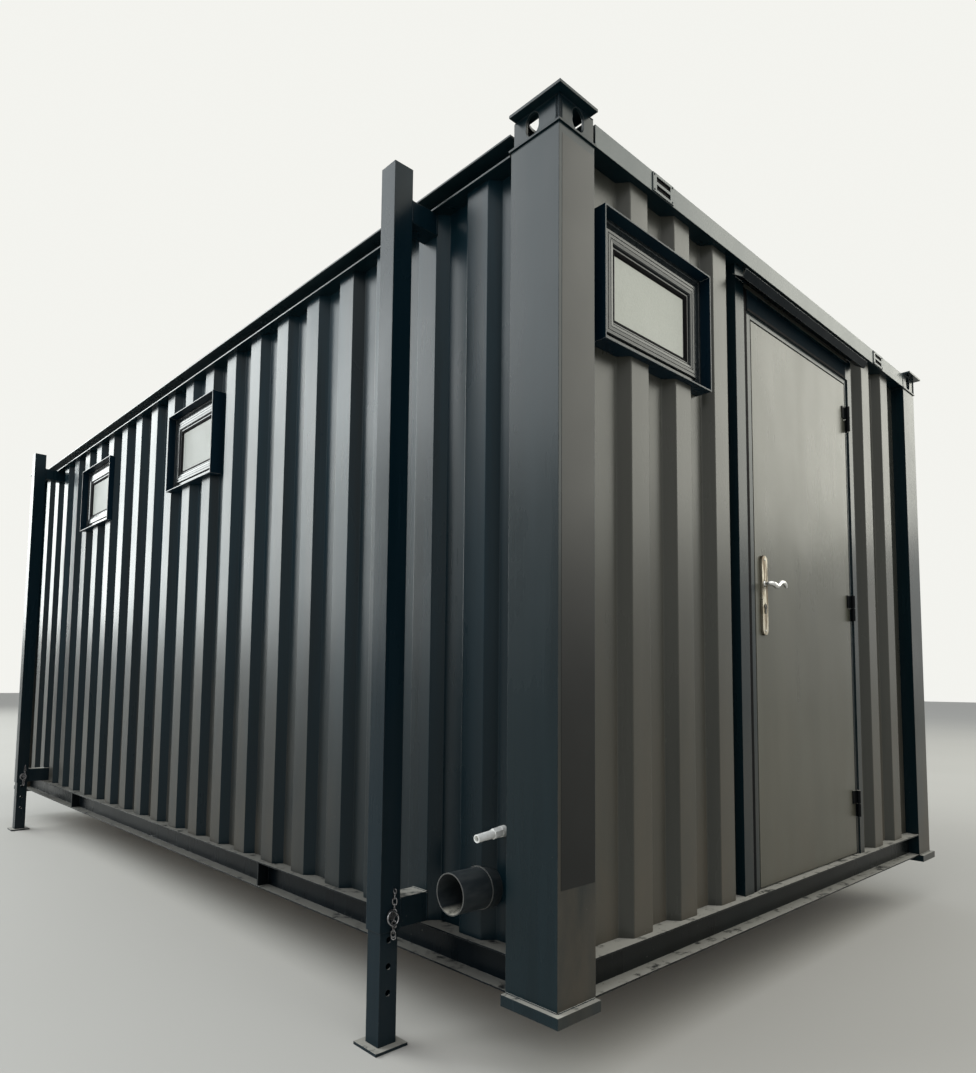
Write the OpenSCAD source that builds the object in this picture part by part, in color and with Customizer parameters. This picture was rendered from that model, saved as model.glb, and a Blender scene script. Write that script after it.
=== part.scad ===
// Steel site cabin of the container kind, with four jacklegs, one door and three small windows.
// Millimetres, +Z up. Inside the modules, x runs from the left posts' outer face to the right,
// y from the front posts' outer face to the rear, and z from the ledge on which the walls stand.
// placed() moves this frame so that the origin is the bottom centre of the whole cabin.

/* [Overall size] */
// Width over the corner posts
cabin_width = 2740; // [2600:10:3000]
// Length over the corner posts
cabin_length = 5340; // [5300:10:5400]
// Height of the ledge above the ground, set by the jacklegs
ledge_height = 320; // [300:5:360]

/* [Corner posts] */
// Width of a corner post on the end walls
post_front = 147; // [140:1:150]
// Width of a corner post on the side walls
post_side = 177; // [170:1:180]
// Thickness of the folded steel
post_wall = 4; // [3:0.5:5]
// Thickness of the pad under a corner post
pad_thickness = 28; // [20:1:35]
// Overhang of that pad
pad_overhang = 17; // [10:1:20]
// Thickness of the plate that caps a corner post
cap_thickness = 6; // [4:1:8]
// Overhang of that plate
cap_overhang = 5; // [4:1:8]

/* [Lifting boxes] */
// Width of a lifting box on the end walls
box_front = 143; // [138:1:145]
// Width of a lifting box on the side walls
box_side = 166; // [160:1:170]
// Height of a lifting box without its plates
box_height = 72; // [68:1:76]
// Wall of a lifting box
box_wall = 8; // [6:1:10]
// Width of a lifting slot
slot_width = 48; // [44:1:50]
// Height of a lifting slot
slot_height = 66; // [60:1:68]
// Distance from the post's outer edge to the middle of the slot on the end wall
slot_front_middle = 78; // [74:1:82]
// Distance from the post's outer edge to the middle of the slot on the side wall
slot_side_middle = 97; // [92:1:102]
// Thickness of the plate on a lifting box
top_plate_thickness = 8; // [6:1:10]
// Overhang of that plate
top_plate_overhang = 27; // [20:1:30]
// Width of that plate on the end walls
top_plate_front = 157; // [150:1:165]
// Width of that plate on the side walls
top_plate_side = 187; // [180:1:195]
// Length of the aperture in that plate
aperture_length = 124; // [110:1:124]
// Width of that aperture
aperture_width = 63; // [55:1:64]
// Distance from the post's outer edge to the middle of the aperture on the end wall
aperture_front_middle = 62; // [58:1:66]
// Distance from the post's outer edge to the middle of the aperture on the side wall
aperture_side_middle = 85; // [80:1:88]

/* [Rails] */
// Height of the bottom rails
bottom_rail_height = 97; // [90:1:100]
// Depth of the open channel in the bottom rails
bottom_rail_recess = 45; // [40:1:48]
// Width of the ledge on which the wall sheets stand
ledge_width = 66; // [66:1:70]
// Thickness of the rails
rail_wall = 5; // [4:0.5:6]
// Thickness of a stiffener in a side rail
stiffener_thickness = 8; // [6:1:10]
// Setback of a stiffener behind the edge of the ledge
stiffener_setback = 2; // [2:0.5:4]
// Distance from the front to the first stiffener
front_stiffener = 1530; // [1400:10:1600]
// Distance from the front to the second stiffener
rear_stiffener = 3970; // [3800:10:4000]
// Height of the side top rails
top_rail_height = 67; // [60:1:68]
// Bottom of the side top rails, below the top of the corner posts
top_rail_drop = 8; // [6:1:10]
// Depth of the side top rails and of the end headers
top_rail_depth = 62; // [62:1:66]
// Height of the end headers
header_height = 64; // [60:1:66]

/* [Wall sheets] */
// Distance from the post's face to the outer flats of the sheets
outer_flat_depth = 23; // [20:1:25]
// Depth of the folds
fold_depth = 34; // [30:1:35]
// Thickness of the sheets
sheet_thickness = 2; // [1.5:0.5:2]
// Width of an outer flat
outer_flat = 90; // [86:1:94]
// Width of a slope, seen from the front
fold_slope = 27; // [25:1:29]
// Distance from one outer flat to the next
fold_pitch = 234; // [232:1:236]
// Distance from the front to the start of the first fold in the side walls
side_first_fold = 268; // [250:1:275]
// Distance from the left edge to the start of the first fold in the front wall
front_first_fold = 319; // [310:1:325]
// Distance from the left edge to the first fold on the right of the door
right_first_fold = 2084; // [2070:1:2090]

/* [Floor, lining and roof] */
// Thickness of the insulated lining behind the sheets
lining_thickness = 45; // [40:1:50]
// Thickness of the floor deck
deck_thickness = 18; // [15:1:22]
// Width of a floor joist
joist_width = 50; // [40:1:60]
// Gap between the corner posts and the first joist
joist_gap = 20; // [15:1:30]
// Number of floor joists
joist_count = 12; // [10:1:14]
// Thickness of the joists' steel
joist_wall = 4; // [3:0.5:5]
// Thickness of the ceiling panel
ceiling_thickness = 30; // [20:1:40]
// Thickness of the roof sheet
roof_thickness = 3; // [2:0.5:3]
// Distance from one pressed rib in the roof to the next
roof_rib_pitch = 209; // [180:1:240]
// Width of a pressed rib at its foot
roof_rib_width = 90; // [80:1:100]
// Height of a pressed rib
roof_rib_height = 6; // [4:0.5:7]
// Distance from the cabin's side to the end of a pressed rib
roof_rib_inset = 230; // [200:10:300]

/* [Windows] */
// Width of the front window's surround
front_window_width = 561; // [540:1:570]
// Left edge of the front window's surround
front_window_left = 197; // [190:1:205]
// Width of a side window's surround
side_window_width = 530; // [500:1:560]
// Distance from the front to the first side window
first_side_window = 2118; // [2100:1:2140]
// Distance from the front to the second side window
second_side_window = 3565; // [3540:1:3580]
// Height of a surround
window_height = 391; // [380:1:400]
// Distance from the top of the corner posts down to a surround's upper edge
window_drop = 137; // [100:1:180]
// Thickness of a surround's steel
surround_wall = 4; // [3:0.5:5]
// Depth from the surround's front edge to the window frame
frame_setback = 36; // [34:1:44]
// Depth of a window frame
frame_depth = 44; // [40:1:50]
// Width of the frame's fixed part
frame_width = 34; // [30:1:38]
// How far the sash stands in front of the fixed part
sash_step = 6; // [4:1:8]
// Width of the sash
sash_width = 40; // [36:1:44]
// Width of the glazing bead
bead_width = 13; // [10:1:16]
// How far the bead lies behind the sash's face
bead_step = 8; // [6:1:10]
// How far the glass lies behind the bead's face
glass_step = 7; // [6:1:9]
// Thickness of the glass
glass_thickness = 6; // [4:1:8]

/* [Door] */
// Width of the door leaf
door_width = 837; // [820:1:840]
// Height of the door leaf
door_height = 2008; // [1990:1:2010]
// Thickness of the door leaf
door_thickness = 45; // [40:1:45]
// Left edge of the door leaf
door_left = 1087; // [1080:1:1092]
// Height of the leaf's lower edge above the ledge
door_bottom = 6; // [6:1:8]
// Gap around the door leaf
door_gap = 5.5; // [5.5:0.5:6]
// How much narrower the leaf is at its back, so that its lock edge clears the jamb
lock_edge_bevel = 2; // [2:0.5:4]
// Depth of the leaf's outer face behind the post's face
door_face = 30; // [28:1:32]
// Depth of the frame's outer face behind the post's face
frame_face = 24; // [23:1:26]
// Width of the left jamb's outer face
left_jamb_face = 60; // [50:1:62]
// Width of the groove between the left jamb's two faces
jamb_groove_width = 24; // [18:1:26]
// Depth of that groove
jamb_groove_depth = 20; // [14:1:24]
// Width of the left jamb
left_jamb = 114; // [108:1:118]
// Width of the right jamb
right_jamb = 60; // [58:1:64]
// Width of the inner face round the right and upper edges of the leaf
inner_face = 20; // [18:1:24]
// Height of the frame's head
frame_head = 100; // [90:1:104]
// Height of the corner posts' top above the door's frame
over_door_height = 58.5; // [50:0.5:66]
// Overlap of the stop behind the door leaf
stop_overlap = 15; // [12:1:20]
// Radius of a hinge knuckle
knuckle_radius = 8; // [7:0.5:8]
// Gap between a hinge knuckle and the face of the leaf
knuckle_gap = 5; // [5:0.5:6]
// Thickness of a hinge plate
hinge_plate = 4.5; // [4:0.5:4.5]
// How far a hinge plate reaches over the leaf
hinge_reach = 32; // [28:1:36]
// Radius of a hinge pin
hinge_pin_radius = 4; // [3.5:0.5:4.5]
// Height of a hinge
hinge_height = 108; // [100:1:110]
// Height of the lower hinge's foot above the ledge
lower_hinge = 155; // [140:5:170]
// Height of the middle hinge's foot above the ledge
middle_hinge = 974; // [950:2:1000]
// Distance from the leaf's upper edge down to the foot of the upper hinge
upper_hinge_drop = 211; // [200:1:230]

/* [Door furniture] */
// Height of the lock plates
lock_plate_height = 287; // [270:1:290]
// Width of the lock plates
lock_plate_width = 41; // [38:1:44]
// Thickness of the lock plates
lock_plate_thickness = 8; // [6:1:9]
// Distance from the leaf's left edge to the middle of the lock
lock_backset = 56; // [54:1:60]
// Height of the lock plates' lower end above the ledge
lock_plate_bottom = 874; // [850:2:900]
// Height of the lever above the lower end of the plates
lever_height = 185; // [180:1:190]
// Height of the key cylinder above the lower end of the plates
cylinder_height = 103; // [95:1:108]
// Length of the lever
lever_length = 106; // [90:1:110]
// Height of the lever's bar
lever_bar_height = 11; // [9:0.5:12]
// Depth of the lever's bar
lever_bar_depth = 13; // [11:0.5:14]
// Height of the wave in the lever's bar
lever_wave = 10; // [7:0.5:11]
// How far the lever's end hangs below its boss
lever_droop = 2; // [1:0.5:6]

/* [Gutter and vents] */
// Length of the rain gutter over the door
gutter_length = 1095; // [1080:1:1100]
// Thickness of the gutter's steel
gutter_wall = 2; // [2:0.5:3]
// Width of a vent plate
vent_width = 112; // [105:1:115]
// Height of a vent plate
vent_height = 60; // [54:1:60]
// Thickness of a vent plate
vent_thickness = 3; // [2:0.5:4]
// Distance from a vent's middle to the cabin's edge
vent_middle = 484; // [470:1:500]
// Length of a vent slot
vent_slot = 74; // [60:1:80]

/* [Jacklegs] */
// Width of a sleeve
sleeve_width = 68; // [66:1:70]
// Wall of a sleeve
sleeve_wall = 3.5; // [3:0.5:3.5]
// Gap between a sleeve and the side's face
sleeve_gap = 76; // [70:1:90]
// Distance from the front to a front sleeve
front_sleeve = 527; // [527:1:540]
// Distance from the front to a rear sleeve
rear_sleeve = 4700; // [4690:1:4720]
// Height of a sleeve's top above the corner posts
sleeve_rise = 90; // [80:1:100]
// How far a sleeve's lower end reaches below the ledge
sleeve_drop = 5; // [3:1:8]
// Height of an upper arm between sleeve and wall
upper_arm_height = 70; // [68:1:75]
// Height of a lower arm between sleeve and wall
lower_arm_height = 83; // [80:1:86]
// Width of an inner leg
leg_width = 60; // [60:0.5:60]
// Wall of an inner leg
leg_wall = 4; // [3:0.5:5]
// Length of an inner leg
leg_length = 1300; // [1200:10:1500]
// Distance from one hole to the next in an inner leg
hole_pitch = 72; // [70:1:80]
// Radius of those holes
hole_radius = 8.7; // [8.5:0.1:9]
// Number of those holes
hole_count = 12; // [8:1:14]
// Height of the locking pin above the ledge
pin_height = 44; // [40:1:50]
// Radius of the locking pin
pin_radius = 8; // [7:0.5:8]
// Width of a foot plate
foot_width = 108; // [100:1:115]
// Thickness of a foot plate
foot_thickness = 8; // [6:1:10]

/* [Pipes] */
// Outside radius of the soil pipe
soil_pipe_radius = 55; // [55:1:55]
// Wall of the soil pipe
soil_pipe_wall = 3.2; // [3:0.1:4]
// Distance from the front to the soil pipe
soil_pipe_distance = 304; // [300:1:310]
// Height of the soil pipe above the ledge
soil_pipe_height = 138; // [130:1:150]
// How far the soil pipe stands out from the post's face
soil_pipe_reach = 82; // [75:1:90]
// Thickness of the sealant round the soil pipe in the wall
sealant = 3; // [2:0.5:4]
// Outside radius of the water pipe
water_pipe_radius = 11; // [10:0.5:11]
// Distance from the front to the water pipe
water_pipe_distance = 243; // [240:1:245]
// Height of the water pipe above the ledge
water_pipe_height = 290; // [280:1:300]
// How far the water pipe stands out from the post's face
water_pipe_reach = 45; // [40:1:50]
// Slope of the water pipe, in degrees
water_pipe_slope = 5; // [3:1:6]
// Wall of the water pipe
water_pipe_wall = 3; // [2.5:0.5:3]
// Outside radius of the nut on the water pipe
nut_radius = 15; // [14:0.5:18]
// Length of that nut
nut_length = 28; // [20:1:30]

/* [Fits] */
// Gap between two pieces that are seated against each other
seat = 0.3; // [0.2:0.1:0.4]
// Radial clearance of a pin in its own hole
running_clearance = 0.2; // [0.1:0.05:0.3]

/* [Hidden] */
$fn = 64;

steel = [0.16, 0.17, 0.18];
board = [0.85, 0.84, 0.80];
plywood = [0.60, 0.48, 0.33];
clear_glass = [0.75, 0.80, 0.82];
satin_metal = [0.70, 0.66, 0.58];
plastic = [0.10, 0.10, 0.11];
white_plastic = [0.90, 0.90, 0.88];

cut = 1; // how far a cutting shape runs past the face that it cuts

door_top = door_bottom + door_height;
head_bottom = door_top + door_gap;
head_top = head_bottom + frame_head;
post_top = head_top + over_door_height;
window_bottom = post_top - window_drop - window_height;
sleeve_top = post_top + sleeve_rise;

inner_flat_depth = outer_flat_depth + fold_depth;
lining_front = inner_flat_depth + sheet_thickness + seat;
lining_back = lining_front + lining_thickness;
ceiling_top = post_top - top_rail_drop - seat;
ceiling_height = ceiling_top - ceiling_thickness;
rib_width = outer_flat + 2 * fold_slope;
side_folds = floor((cabin_length - post_side - seat - side_first_fold - rib_width) / fold_pitch) + 1;
post_return = inner_flat_depth + sheet_thickness;

cap_top = post_top + cap_thickness;
box_top = cap_top + box_height;
rail_start_x = post_front + cap_overhang + seat;
rail_start_y = post_side + cap_overhang + seat;
roof_edge = 6; // how far the roof sheet stays back from the pieces round it
top_rail_bottom = post_top - top_rail_drop;
top_rail_top = top_rail_bottom + top_rail_height;
header_bottom = cap_top;

door_right = door_left + door_width;
jamb_left_edge = door_left - door_gap - left_jamb;
jamb_right_edge = door_right + door_gap + right_jamb;
right_jamb_face = right_jamb - inner_face;
frame_lip = 4; // how far the door frame stands out of the lining
frame_back = lining_back + frame_lip;
door_back = door_face + door_thickness;
stop_face = door_back + door_gap;
land_left = door_left - door_gap;
land_right = door_right + door_gap;
over_door_left = jamb_left_edge + left_jamb_face + seat;
over_door_width = jamb_right_edge - right_jamb_face - seat - over_door_left;
jamb_top = header_bottom - seat;

hinge_x = door_right + door_gap / 2;
hinge_y = door_face - knuckle_gap - knuckle_radius;
hinge_heights = [lower_hinge, middle_hinge, door_top - upper_hinge_drop];
hinge_half_gap = 1;
hinge_pin_drop = 12;
hinge_web = 4;
hinge_cap = 4;

lock_x = door_left + lock_backset;
lever_z = lock_plate_bottom + lever_height;
cylinder_z = lock_plate_bottom + cylinder_height;
spindle_radius = 5;
spindle_clearance = 2;
boss_radius = 11;
boss_height = 4;
neck_radius = 7;
lever_play = 0.5;
lever_bar_y = -8;
lever_steps = 24;
cylinder_plug_radius = 8.5;
cylinder_web = 10;
cylinder_drop = 25;
cylinder_reach = 3;

gutter_left = jamb_left_edge - 22;
gutter_low_y = -17;
gutter_low_z = head_top - 13;
gutter_back_y = outer_flat_depth - seat;
gutter_back_z = gutter_low_z + 27;
gutter_lip_y = -31;
gutter_lip_z = gutter_low_z + 26;
gutter_upright_wall = 1.3 * gutter_wall; // thickness of the sheet next to the wall, measured upright
gutter_level_wall = 1.15 * gutter_wall; // thickness of the lip, measured level
gutter_fold = [gutter_low_y + 0.4 * gutter_wall, gutter_low_z + 1.6 * gutter_wall]; // inside of its fold

vent_slot_height = 16;
vent_slot_pitch = 26;
vent_edge = 9; // height of a vent plate below its lower slot
header_slot_margin = 4;
header_slot_inset = 8;

frame_inset = surround_wall + seat;
sash_inset = frame_inset + frame_width;
bead_inset = sash_inset + sash_width;
glass_inset = bead_inset + bead_width;
sash_face = frame_setback - sash_step;
bead_face = sash_face + bead_step;
glass_face = bead_face + glass_step;

leg_inset = (sleeve_width - leg_width) / 2;
leg_bottom = foot_thickness - ledge_height;
pin_reach = 12;
pin_head = 6;
pin_head_radius = pin_radius + 6;
holes_below_pin = 3;

soil_seal_start = outer_flat_depth - cut;
nut_start = 15;
upper_arm_bottom = top_rail_bottom - seat - upper_arm_height;

front_reach = -gutter_lip_y;
rear_reach = max(pad_overhang, top_plate_overhang);
middle_y = (cabin_length + rear_reach - front_reach) / 2;

module placed() {
    translate([-cabin_width / 2, -middle_y, ledge_height]) children();
}

// Copies a shape of the left side to the right side
module on_right() {
    translate([cabin_width, 0, 0]) mirror([1, 0, 0]) children();
}

// Copies a shape of the front end to the rear end
module on_rear() {
    translate([0, cabin_length, 0]) mirror([0, 1, 0]) children();
}

module on_both_sides() {
    children();
    on_right() children();
}

module on_both_ends() {
    children();
    on_rear() children();
}

// Turns a front wall, drawn along x, into a left side wall along y
module as_side() {
    mirror([1, -1, 0]) children();
}

// An outward-opening channel along x, seen from the front
module open_channel(from, to, bottom, height, flange, recess) {
    translate([from, 0, bottom]) cube([to - from, flange, rail_wall]);
    translate([from, 0, bottom + height - rail_wall]) cube([to - from, flange, rail_wall]);
    translate([from, recess, bottom]) cube([to - from, rail_wall, height]);
}

// The ledge is wider than the lower flange, because the wall sheet stands on it
module bottom_rail(from, to) {
    open_channel(from, to, -bottom_rail_height, bottom_rail_height,
        bottom_rail_recess + rail_wall, bottom_rail_recess);
    translate([from, 0, -rail_wall]) cube([to - from, ledge_width, rail_wall]);
}

module front_bottom_rail() {
    color(steel) placed() bottom_rail(post_front, cabin_width - post_front);
}

module rear_bottom_rail() {
    color(steel) placed() on_rear() bottom_rail(post_front, cabin_width - post_front);
}

module side_bottom_rail() {
    as_side() {
        bottom_rail(post_side, cabin_length - post_side);
        for (distance = [front_stiffener, rear_stiffener])
            translate([distance, stiffener_setback, -bottom_rail_height])
                cube([stiffener_thickness, bottom_rail_recess, bottom_rail_height]);
    }
}

module left_bottom_rail() {
    color(steel) placed() side_bottom_rail();
}

module right_bottom_rail() {
    color(steel) placed() on_right() side_bottom_rail();
}

module floor_joists() {
    start = bottom_rail_recess + rail_wall + seat;
    joist_length = cabin_width - 2 * start;
    joist_height = bottom_rail_height - deck_thickness;
    first = post_side + joist_gap;
    spacing = (cabin_length - 2 * first - joist_width) / (joist_count - 1);
    color(steel) placed()
        for (i = [0 : joist_count - 1])
            translate([start, first + i * spacing, -bottom_rail_height])
                difference() {
                    cube([joist_length, joist_width, joist_height - seat]);
                    translate([-cut, joist_wall, joist_wall])
                        cube([joist_length + 2 * cut, joist_width, joist_height - seat - 2 * joist_wall]);
                }
}

module floor_deck() {
    edge = ledge_width + seat;
    color(plywood) placed()
        translate([edge, edge, -deck_thickness])
            cube([cabin_width - 2 * edge, cabin_length - 2 * edge, deck_thickness - seat]);
}

module base_pad() {
    translate([-pad_overhang, -pad_overhang, -bottom_rail_height - pad_thickness])
        cube([post_front + pad_overhang, post_side + pad_overhang, pad_thickness]);
}

module base_pads() {
    color(steel) placed() on_both_ends() on_both_sides() base_pad();
}

// A folded corner: two outer faces, each with a return at its free edge
module post() {
    translate([0, 0, -bottom_rail_height])
        linear_extrude(post_top + bottom_rail_height) {
            square([post_front, post_wall]);
            square([post_wall, post_side]);
            translate([post_front - post_wall, 0]) square([post_wall, post_return]);
            translate([0, post_side - post_wall]) square([post_return, post_wall]);
        }
}

module front_left_post() {
    color(steel) placed() post();
}

module front_right_post() {
    color(steel) placed() on_right() post();
}

module rear_left_post() {
    color(steel) placed() on_rear() post();
}

module rear_right_post() {
    color(steel) placed() on_rear() on_right() post();
}

// An upright slot with round ends, drawn in the x-z plane and cut along y
module upright_slot(depth) {
    reach = (slot_height - slot_width) / 2;
    for (end = [-reach, reach])
        translate([0, 0, end]) rotate([-90, 0, 0]) cylinder(h = depth, d = slot_width);
    translate([-slot_width / 2, 0, -reach]) cube([slot_width, depth, 2 * reach]);
}

// The aperture for a twist lock: a round hole with two straight sides
module top_aperture(depth) {
    intersection() {
        cylinder(h = depth, d = aperture_length);
        translate([-aperture_width / 2, -aperture_length / 2, 0])
            cube([aperture_width, aperture_length, depth]);
    }
}

module lifting_box() {
    slot_middle = cap_top + box_height / 2;
    translate([-cap_overhang, -cap_overhang, post_top])
        cube([post_front + 2 * cap_overhang, post_side + 2 * cap_overhang, cap_thickness]);
    difference() {
        translate([0, 0, cap_top]) cube([box_front, box_side, box_height]);
        translate([box_wall, box_wall, cap_top - cut])
            cube([box_front - 2 * box_wall, box_side - 2 * box_wall, box_height + 2 * cut]);
        translate([slot_front_middle, -cut, slot_middle]) upright_slot(box_wall + 2 * cut);
        translate([-cut, slot_side_middle, slot_middle]) as_side() upright_slot(box_wall + 2 * cut);
    }
    difference() {
        translate([-top_plate_overhang, -top_plate_overhang, box_top])
            cube([top_plate_front, top_plate_side, top_plate_thickness]);
        translate([aperture_front_middle, aperture_side_middle, box_top - cut])
            top_aperture(top_plate_thickness + 2 * cut);
    }
}

module front_left_lifting_box() {
    color(steel) placed() lifting_box();
}

module front_right_lifting_box() {
    color(steel) placed() on_right() lifting_box();
}

module rear_left_lifting_box() {
    color(steel) placed() on_rear() lifting_box();
}

module rear_right_lifting_box() {
    color(steel) placed() on_rear() on_right() lifting_box();
}

module header() {
    header_length = cabin_width - 2 * rail_start_x;
    difference() {
        translate([rail_start_x, 0, header_bottom]) cube([header_length, top_rail_depth, header_height]);
        translate([rail_start_x - cut, rail_wall, header_bottom + rail_wall])
            cube([header_length + 2 * cut, top_rail_depth - 2 * rail_wall, header_height - 2 * rail_wall]);
        for (middle = [vent_middle, cabin_width - vent_middle])
            translate([middle - vent_slot / 2 - header_slot_margin, -cut, header_bottom + header_slot_inset])
                cube([vent_slot + 2 * header_slot_margin, rail_wall + 2 * cut,
                    header_height - 2 * header_slot_inset]);
    }
}

module front_header() {
    color(steel) placed() header();
}

module rear_header() {
    color(steel) placed() on_rear() header();
}

module side_top_rail() {
    as_side()
        open_channel(rail_start_y, cabin_length - rail_start_y, top_rail_bottom, top_rail_height,
            top_rail_depth, top_rail_depth - rail_wall);
}

module left_top_rail() {
    color(steel) placed() side_top_rail();
}

module right_top_rail() {
    color(steel) placed() on_right() side_top_rail();
}

// A bar along x with sloping sides, for the outside or the inside of a rib pressed into the roof
module roof_rib(middle, inset, bottom, half, height) {
    translate([inset, middle, bottom]) rotate([90, 0, 90])
        linear_extrude(cabin_width - 2 * inset)
            polygon([[-half, 0], [height - half, height], [half - height, height], [half, 0]]);
}

// The roof sheet stays inside the headers, the lifting boxes and the outer edges of the side rails
module roof_sheet() {
    bottom = top_rail_top + seat;
    half = roof_rib_width / 2;
    room = cabin_length - 2 * (rail_start_y + roof_edge + roof_rib_width);
    rib_count = floor(room / roof_rib_pitch) + 1;
    first = (cabin_length - (rib_count - 1) * roof_rib_pitch) / 2;
    middles = [for (i = [0 : rib_count - 1]) first + i * roof_rib_pitch];
    color(steel) placed()
        difference() {
            union() {
                translate([roof_edge, rail_start_y + roof_edge, bottom])
                    cube([cabin_width - 2 * roof_edge, cabin_length - 2 * (rail_start_y + roof_edge),
                        roof_thickness]);
                translate([rail_start_x + roof_edge, top_rail_depth + seat, bottom])
                    cube([cabin_width - 2 * (rail_start_x + roof_edge),
                        cabin_length - 2 * (top_rail_depth + seat), roof_thickness]);
                for (middle = middles)
                    roof_rib(middle, roof_rib_inset, bottom,
                        half + roof_thickness, roof_rib_height + roof_thickness);
            }
            for (middle = middles)
                roof_rib(middle, roof_rib_inset + roof_thickness, bottom - cut,
                    half + cut, roof_rib_height + cut);
        }
}

module ceiling_panel() {
    edge = lining_back + seat;
    color(board) placed()
        translate([edge, edge, ceiling_height])
            cube([cabin_width - 2 * edge, cabin_length - 2 * edge, ceiling_thickness]);
}

// The outer line of one fold, whose first slope starts at x
function fold_line(x) = [
    [x, inner_flat_depth],
    [x + fold_slope, outer_flat_depth],
    [x + fold_slope + outer_flat, outer_flat_depth],
    [x + rib_width, inner_flat_depth]
];

function folds(first, count) = [
    for (i = [0 : count - 1], p = fold_line(first + i * fold_pitch)) p
];

// A folded sheet along x, between two edges, with a number of folds from the first one on
module folded_sheet(from, to, first, count, bottom, top) {
    outer = concat([[from, inner_flat_depth]], folds(first, count), [[to, inner_flat_depth]]);
    last = len(outer) - 1;
    inner = [for (i = [last : -1 : 0]) outer[i] + [0, sheet_thickness]];
    translate([0, 0, bottom]) linear_extrude(top - bottom) polygon(concat(outer, inner));
}

// The room that the post's cap plate takes from the upper corner of an end sheet
module cap_notch() {
    translate([0, 0, post_top - seat]) cube([rail_start_x, lining_front + cut, cap_thickness + cut]);
}

// The opening that a window surround passes through
module window_opening(left, width, depth) {
    translate([left - seat, -cut, window_bottom - seat])
        cube([width + 2 * seat, depth, window_height + 2 * seat]);
}

module front_wall_sheet() {
    edge = post_front + seat;
    top = header_bottom - seat;
    color(steel) placed() {
        difference() {
            folded_sheet(edge, jamb_left_edge - seat, front_first_fold, 3, 0, top);
            window_opening(front_window_left, front_window_width, lining_front + 2 * cut);
            cap_notch();
        }
        difference() {
            folded_sheet(jamb_right_edge + seat, cabin_width - edge, right_first_fold, 2, 0, top);
            on_right() cap_notch();
        }
        translate([over_door_left, outer_flat_depth, head_top + seat])
            cube([over_door_width, sheet_thickness, top - head_top - seat]);
    }
}

module rear_wall_sheet() {
    edge = post_front + seat;
    rear_folds = floor((cabin_width - 2 * front_first_fold - rib_width) / fold_pitch) + 1;
    first = (cabin_width - (rear_folds - 1) * fold_pitch - rib_width) / 2;
    color(steel) placed() on_rear()
        difference() {
            folded_sheet(edge, cabin_width - edge, first, rear_folds, 0, header_bottom - seat);
            on_both_sides() cap_notch();
        }
}

module side_sheet() {
    edge = post_side + seat;
    as_side()
        folded_sheet(edge, cabin_length - edge, side_first_fold, side_folds, 0, top_rail_bottom - seat);
}

// Everything behind the outer face of a side sheet, less the gap at which a piece is seated on it
module behind_side_sheet() {
    line = folds(side_first_fold, side_folds);
    back = inner_flat_depth + fold_depth;
    as_side()
        translate([0, -seat, -cut])
            linear_extrude(post_top)
                polygon(concat([[0, inner_flat_depth]], line,
                    [[cabin_length, inner_flat_depth], [cabin_length, back], [0, back]]));
}

module side_window_openings(depth) {
    as_side()
        for (left = [first_side_window, second_side_window])
            window_opening(left, side_window_width, depth);
}

// Places a shape, drawn upwards from the left wall's outer plane, along the water pipe
module at_water_pipe() {
    translate([0, water_pipe_distance, water_pipe_height]) rotate([0, 90 - water_pipe_slope, 0]) children();
}

// The round holes in the left wall for its two pipes
module pipe_openings() {
    depth = 2 * lining_back;
    translate([0, soil_pipe_distance, soil_pipe_height])
        rotate([0, 90, 0]) cylinder(h = depth, r = soil_pipe_radius + sealant + seat);
    at_water_pipe() cylinder(h = depth, r = nut_radius + seat);
}

module left_wall_sheet() {
    color(steel) placed()
        difference() {
            side_sheet();
            side_window_openings(lining_front + 2 * cut);
            pipe_openings();
        }
}

module right_wall_sheet() {
    color(steel) placed() on_right() side_sheet();
}

module front_wall_lining() {
    top = ceiling_top;
    left = lining_back + seat;
    color(board) placed() {
        difference() {
            translate([left, lining_front, 0])
                cube([jamb_left_edge - seat - left, lining_thickness, top]);
            translate([0, lining_front, 0])
                window_opening(front_window_left, front_window_width, lining_thickness + 2 * cut);
        }
        translate([jamb_right_edge + seat, lining_front, 0])
            cube([cabin_width - left - jamb_right_edge - seat, lining_thickness, top]);
        translate([over_door_left, lining_front, head_top + seat])
            cube([over_door_width, lining_thickness, top - head_top - seat]);
    }
}

module rear_wall_lining() {
    left = lining_back + seat;
    color(board) placed() on_rear()
        translate([left, lining_front, 0])
            cube([cabin_width - 2 * left, lining_thickness, ceiling_top]);
}

module side_lining() {
    as_side()
        translate([lining_front, lining_front, 0])
            cube([cabin_length - 2 * lining_front, lining_thickness, ceiling_top]);
}

module left_wall_lining() {
    color(board) placed()
        difference() {
            side_lining();
            translate([lining_front, 0, 0]) side_window_openings(lining_thickness + 2 * cut);
            pipe_openings();
        }
}

module right_wall_lining() {
    color(board) placed() on_right() side_lining();
}

// A surround is a thin box round the window, from the post's face to the inside of the wall
module surround(left, width) {
    difference() {
        translate([left, 0, window_bottom]) cube([width, lining_back, window_height]);
        translate([left + surround_wall, -cut, window_bottom + surround_wall])
            cube([width - 2 * surround_wall, lining_back + 2 * cut, window_height - 2 * surround_wall]);
    }
}

module window_surrounds() {
    color(steel) placed() {
        surround(front_window_left, front_window_width);
        as_side() {
            surround(first_side_window, side_window_width);
            surround(second_side_window, side_window_width);
        }
    }
}

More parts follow.
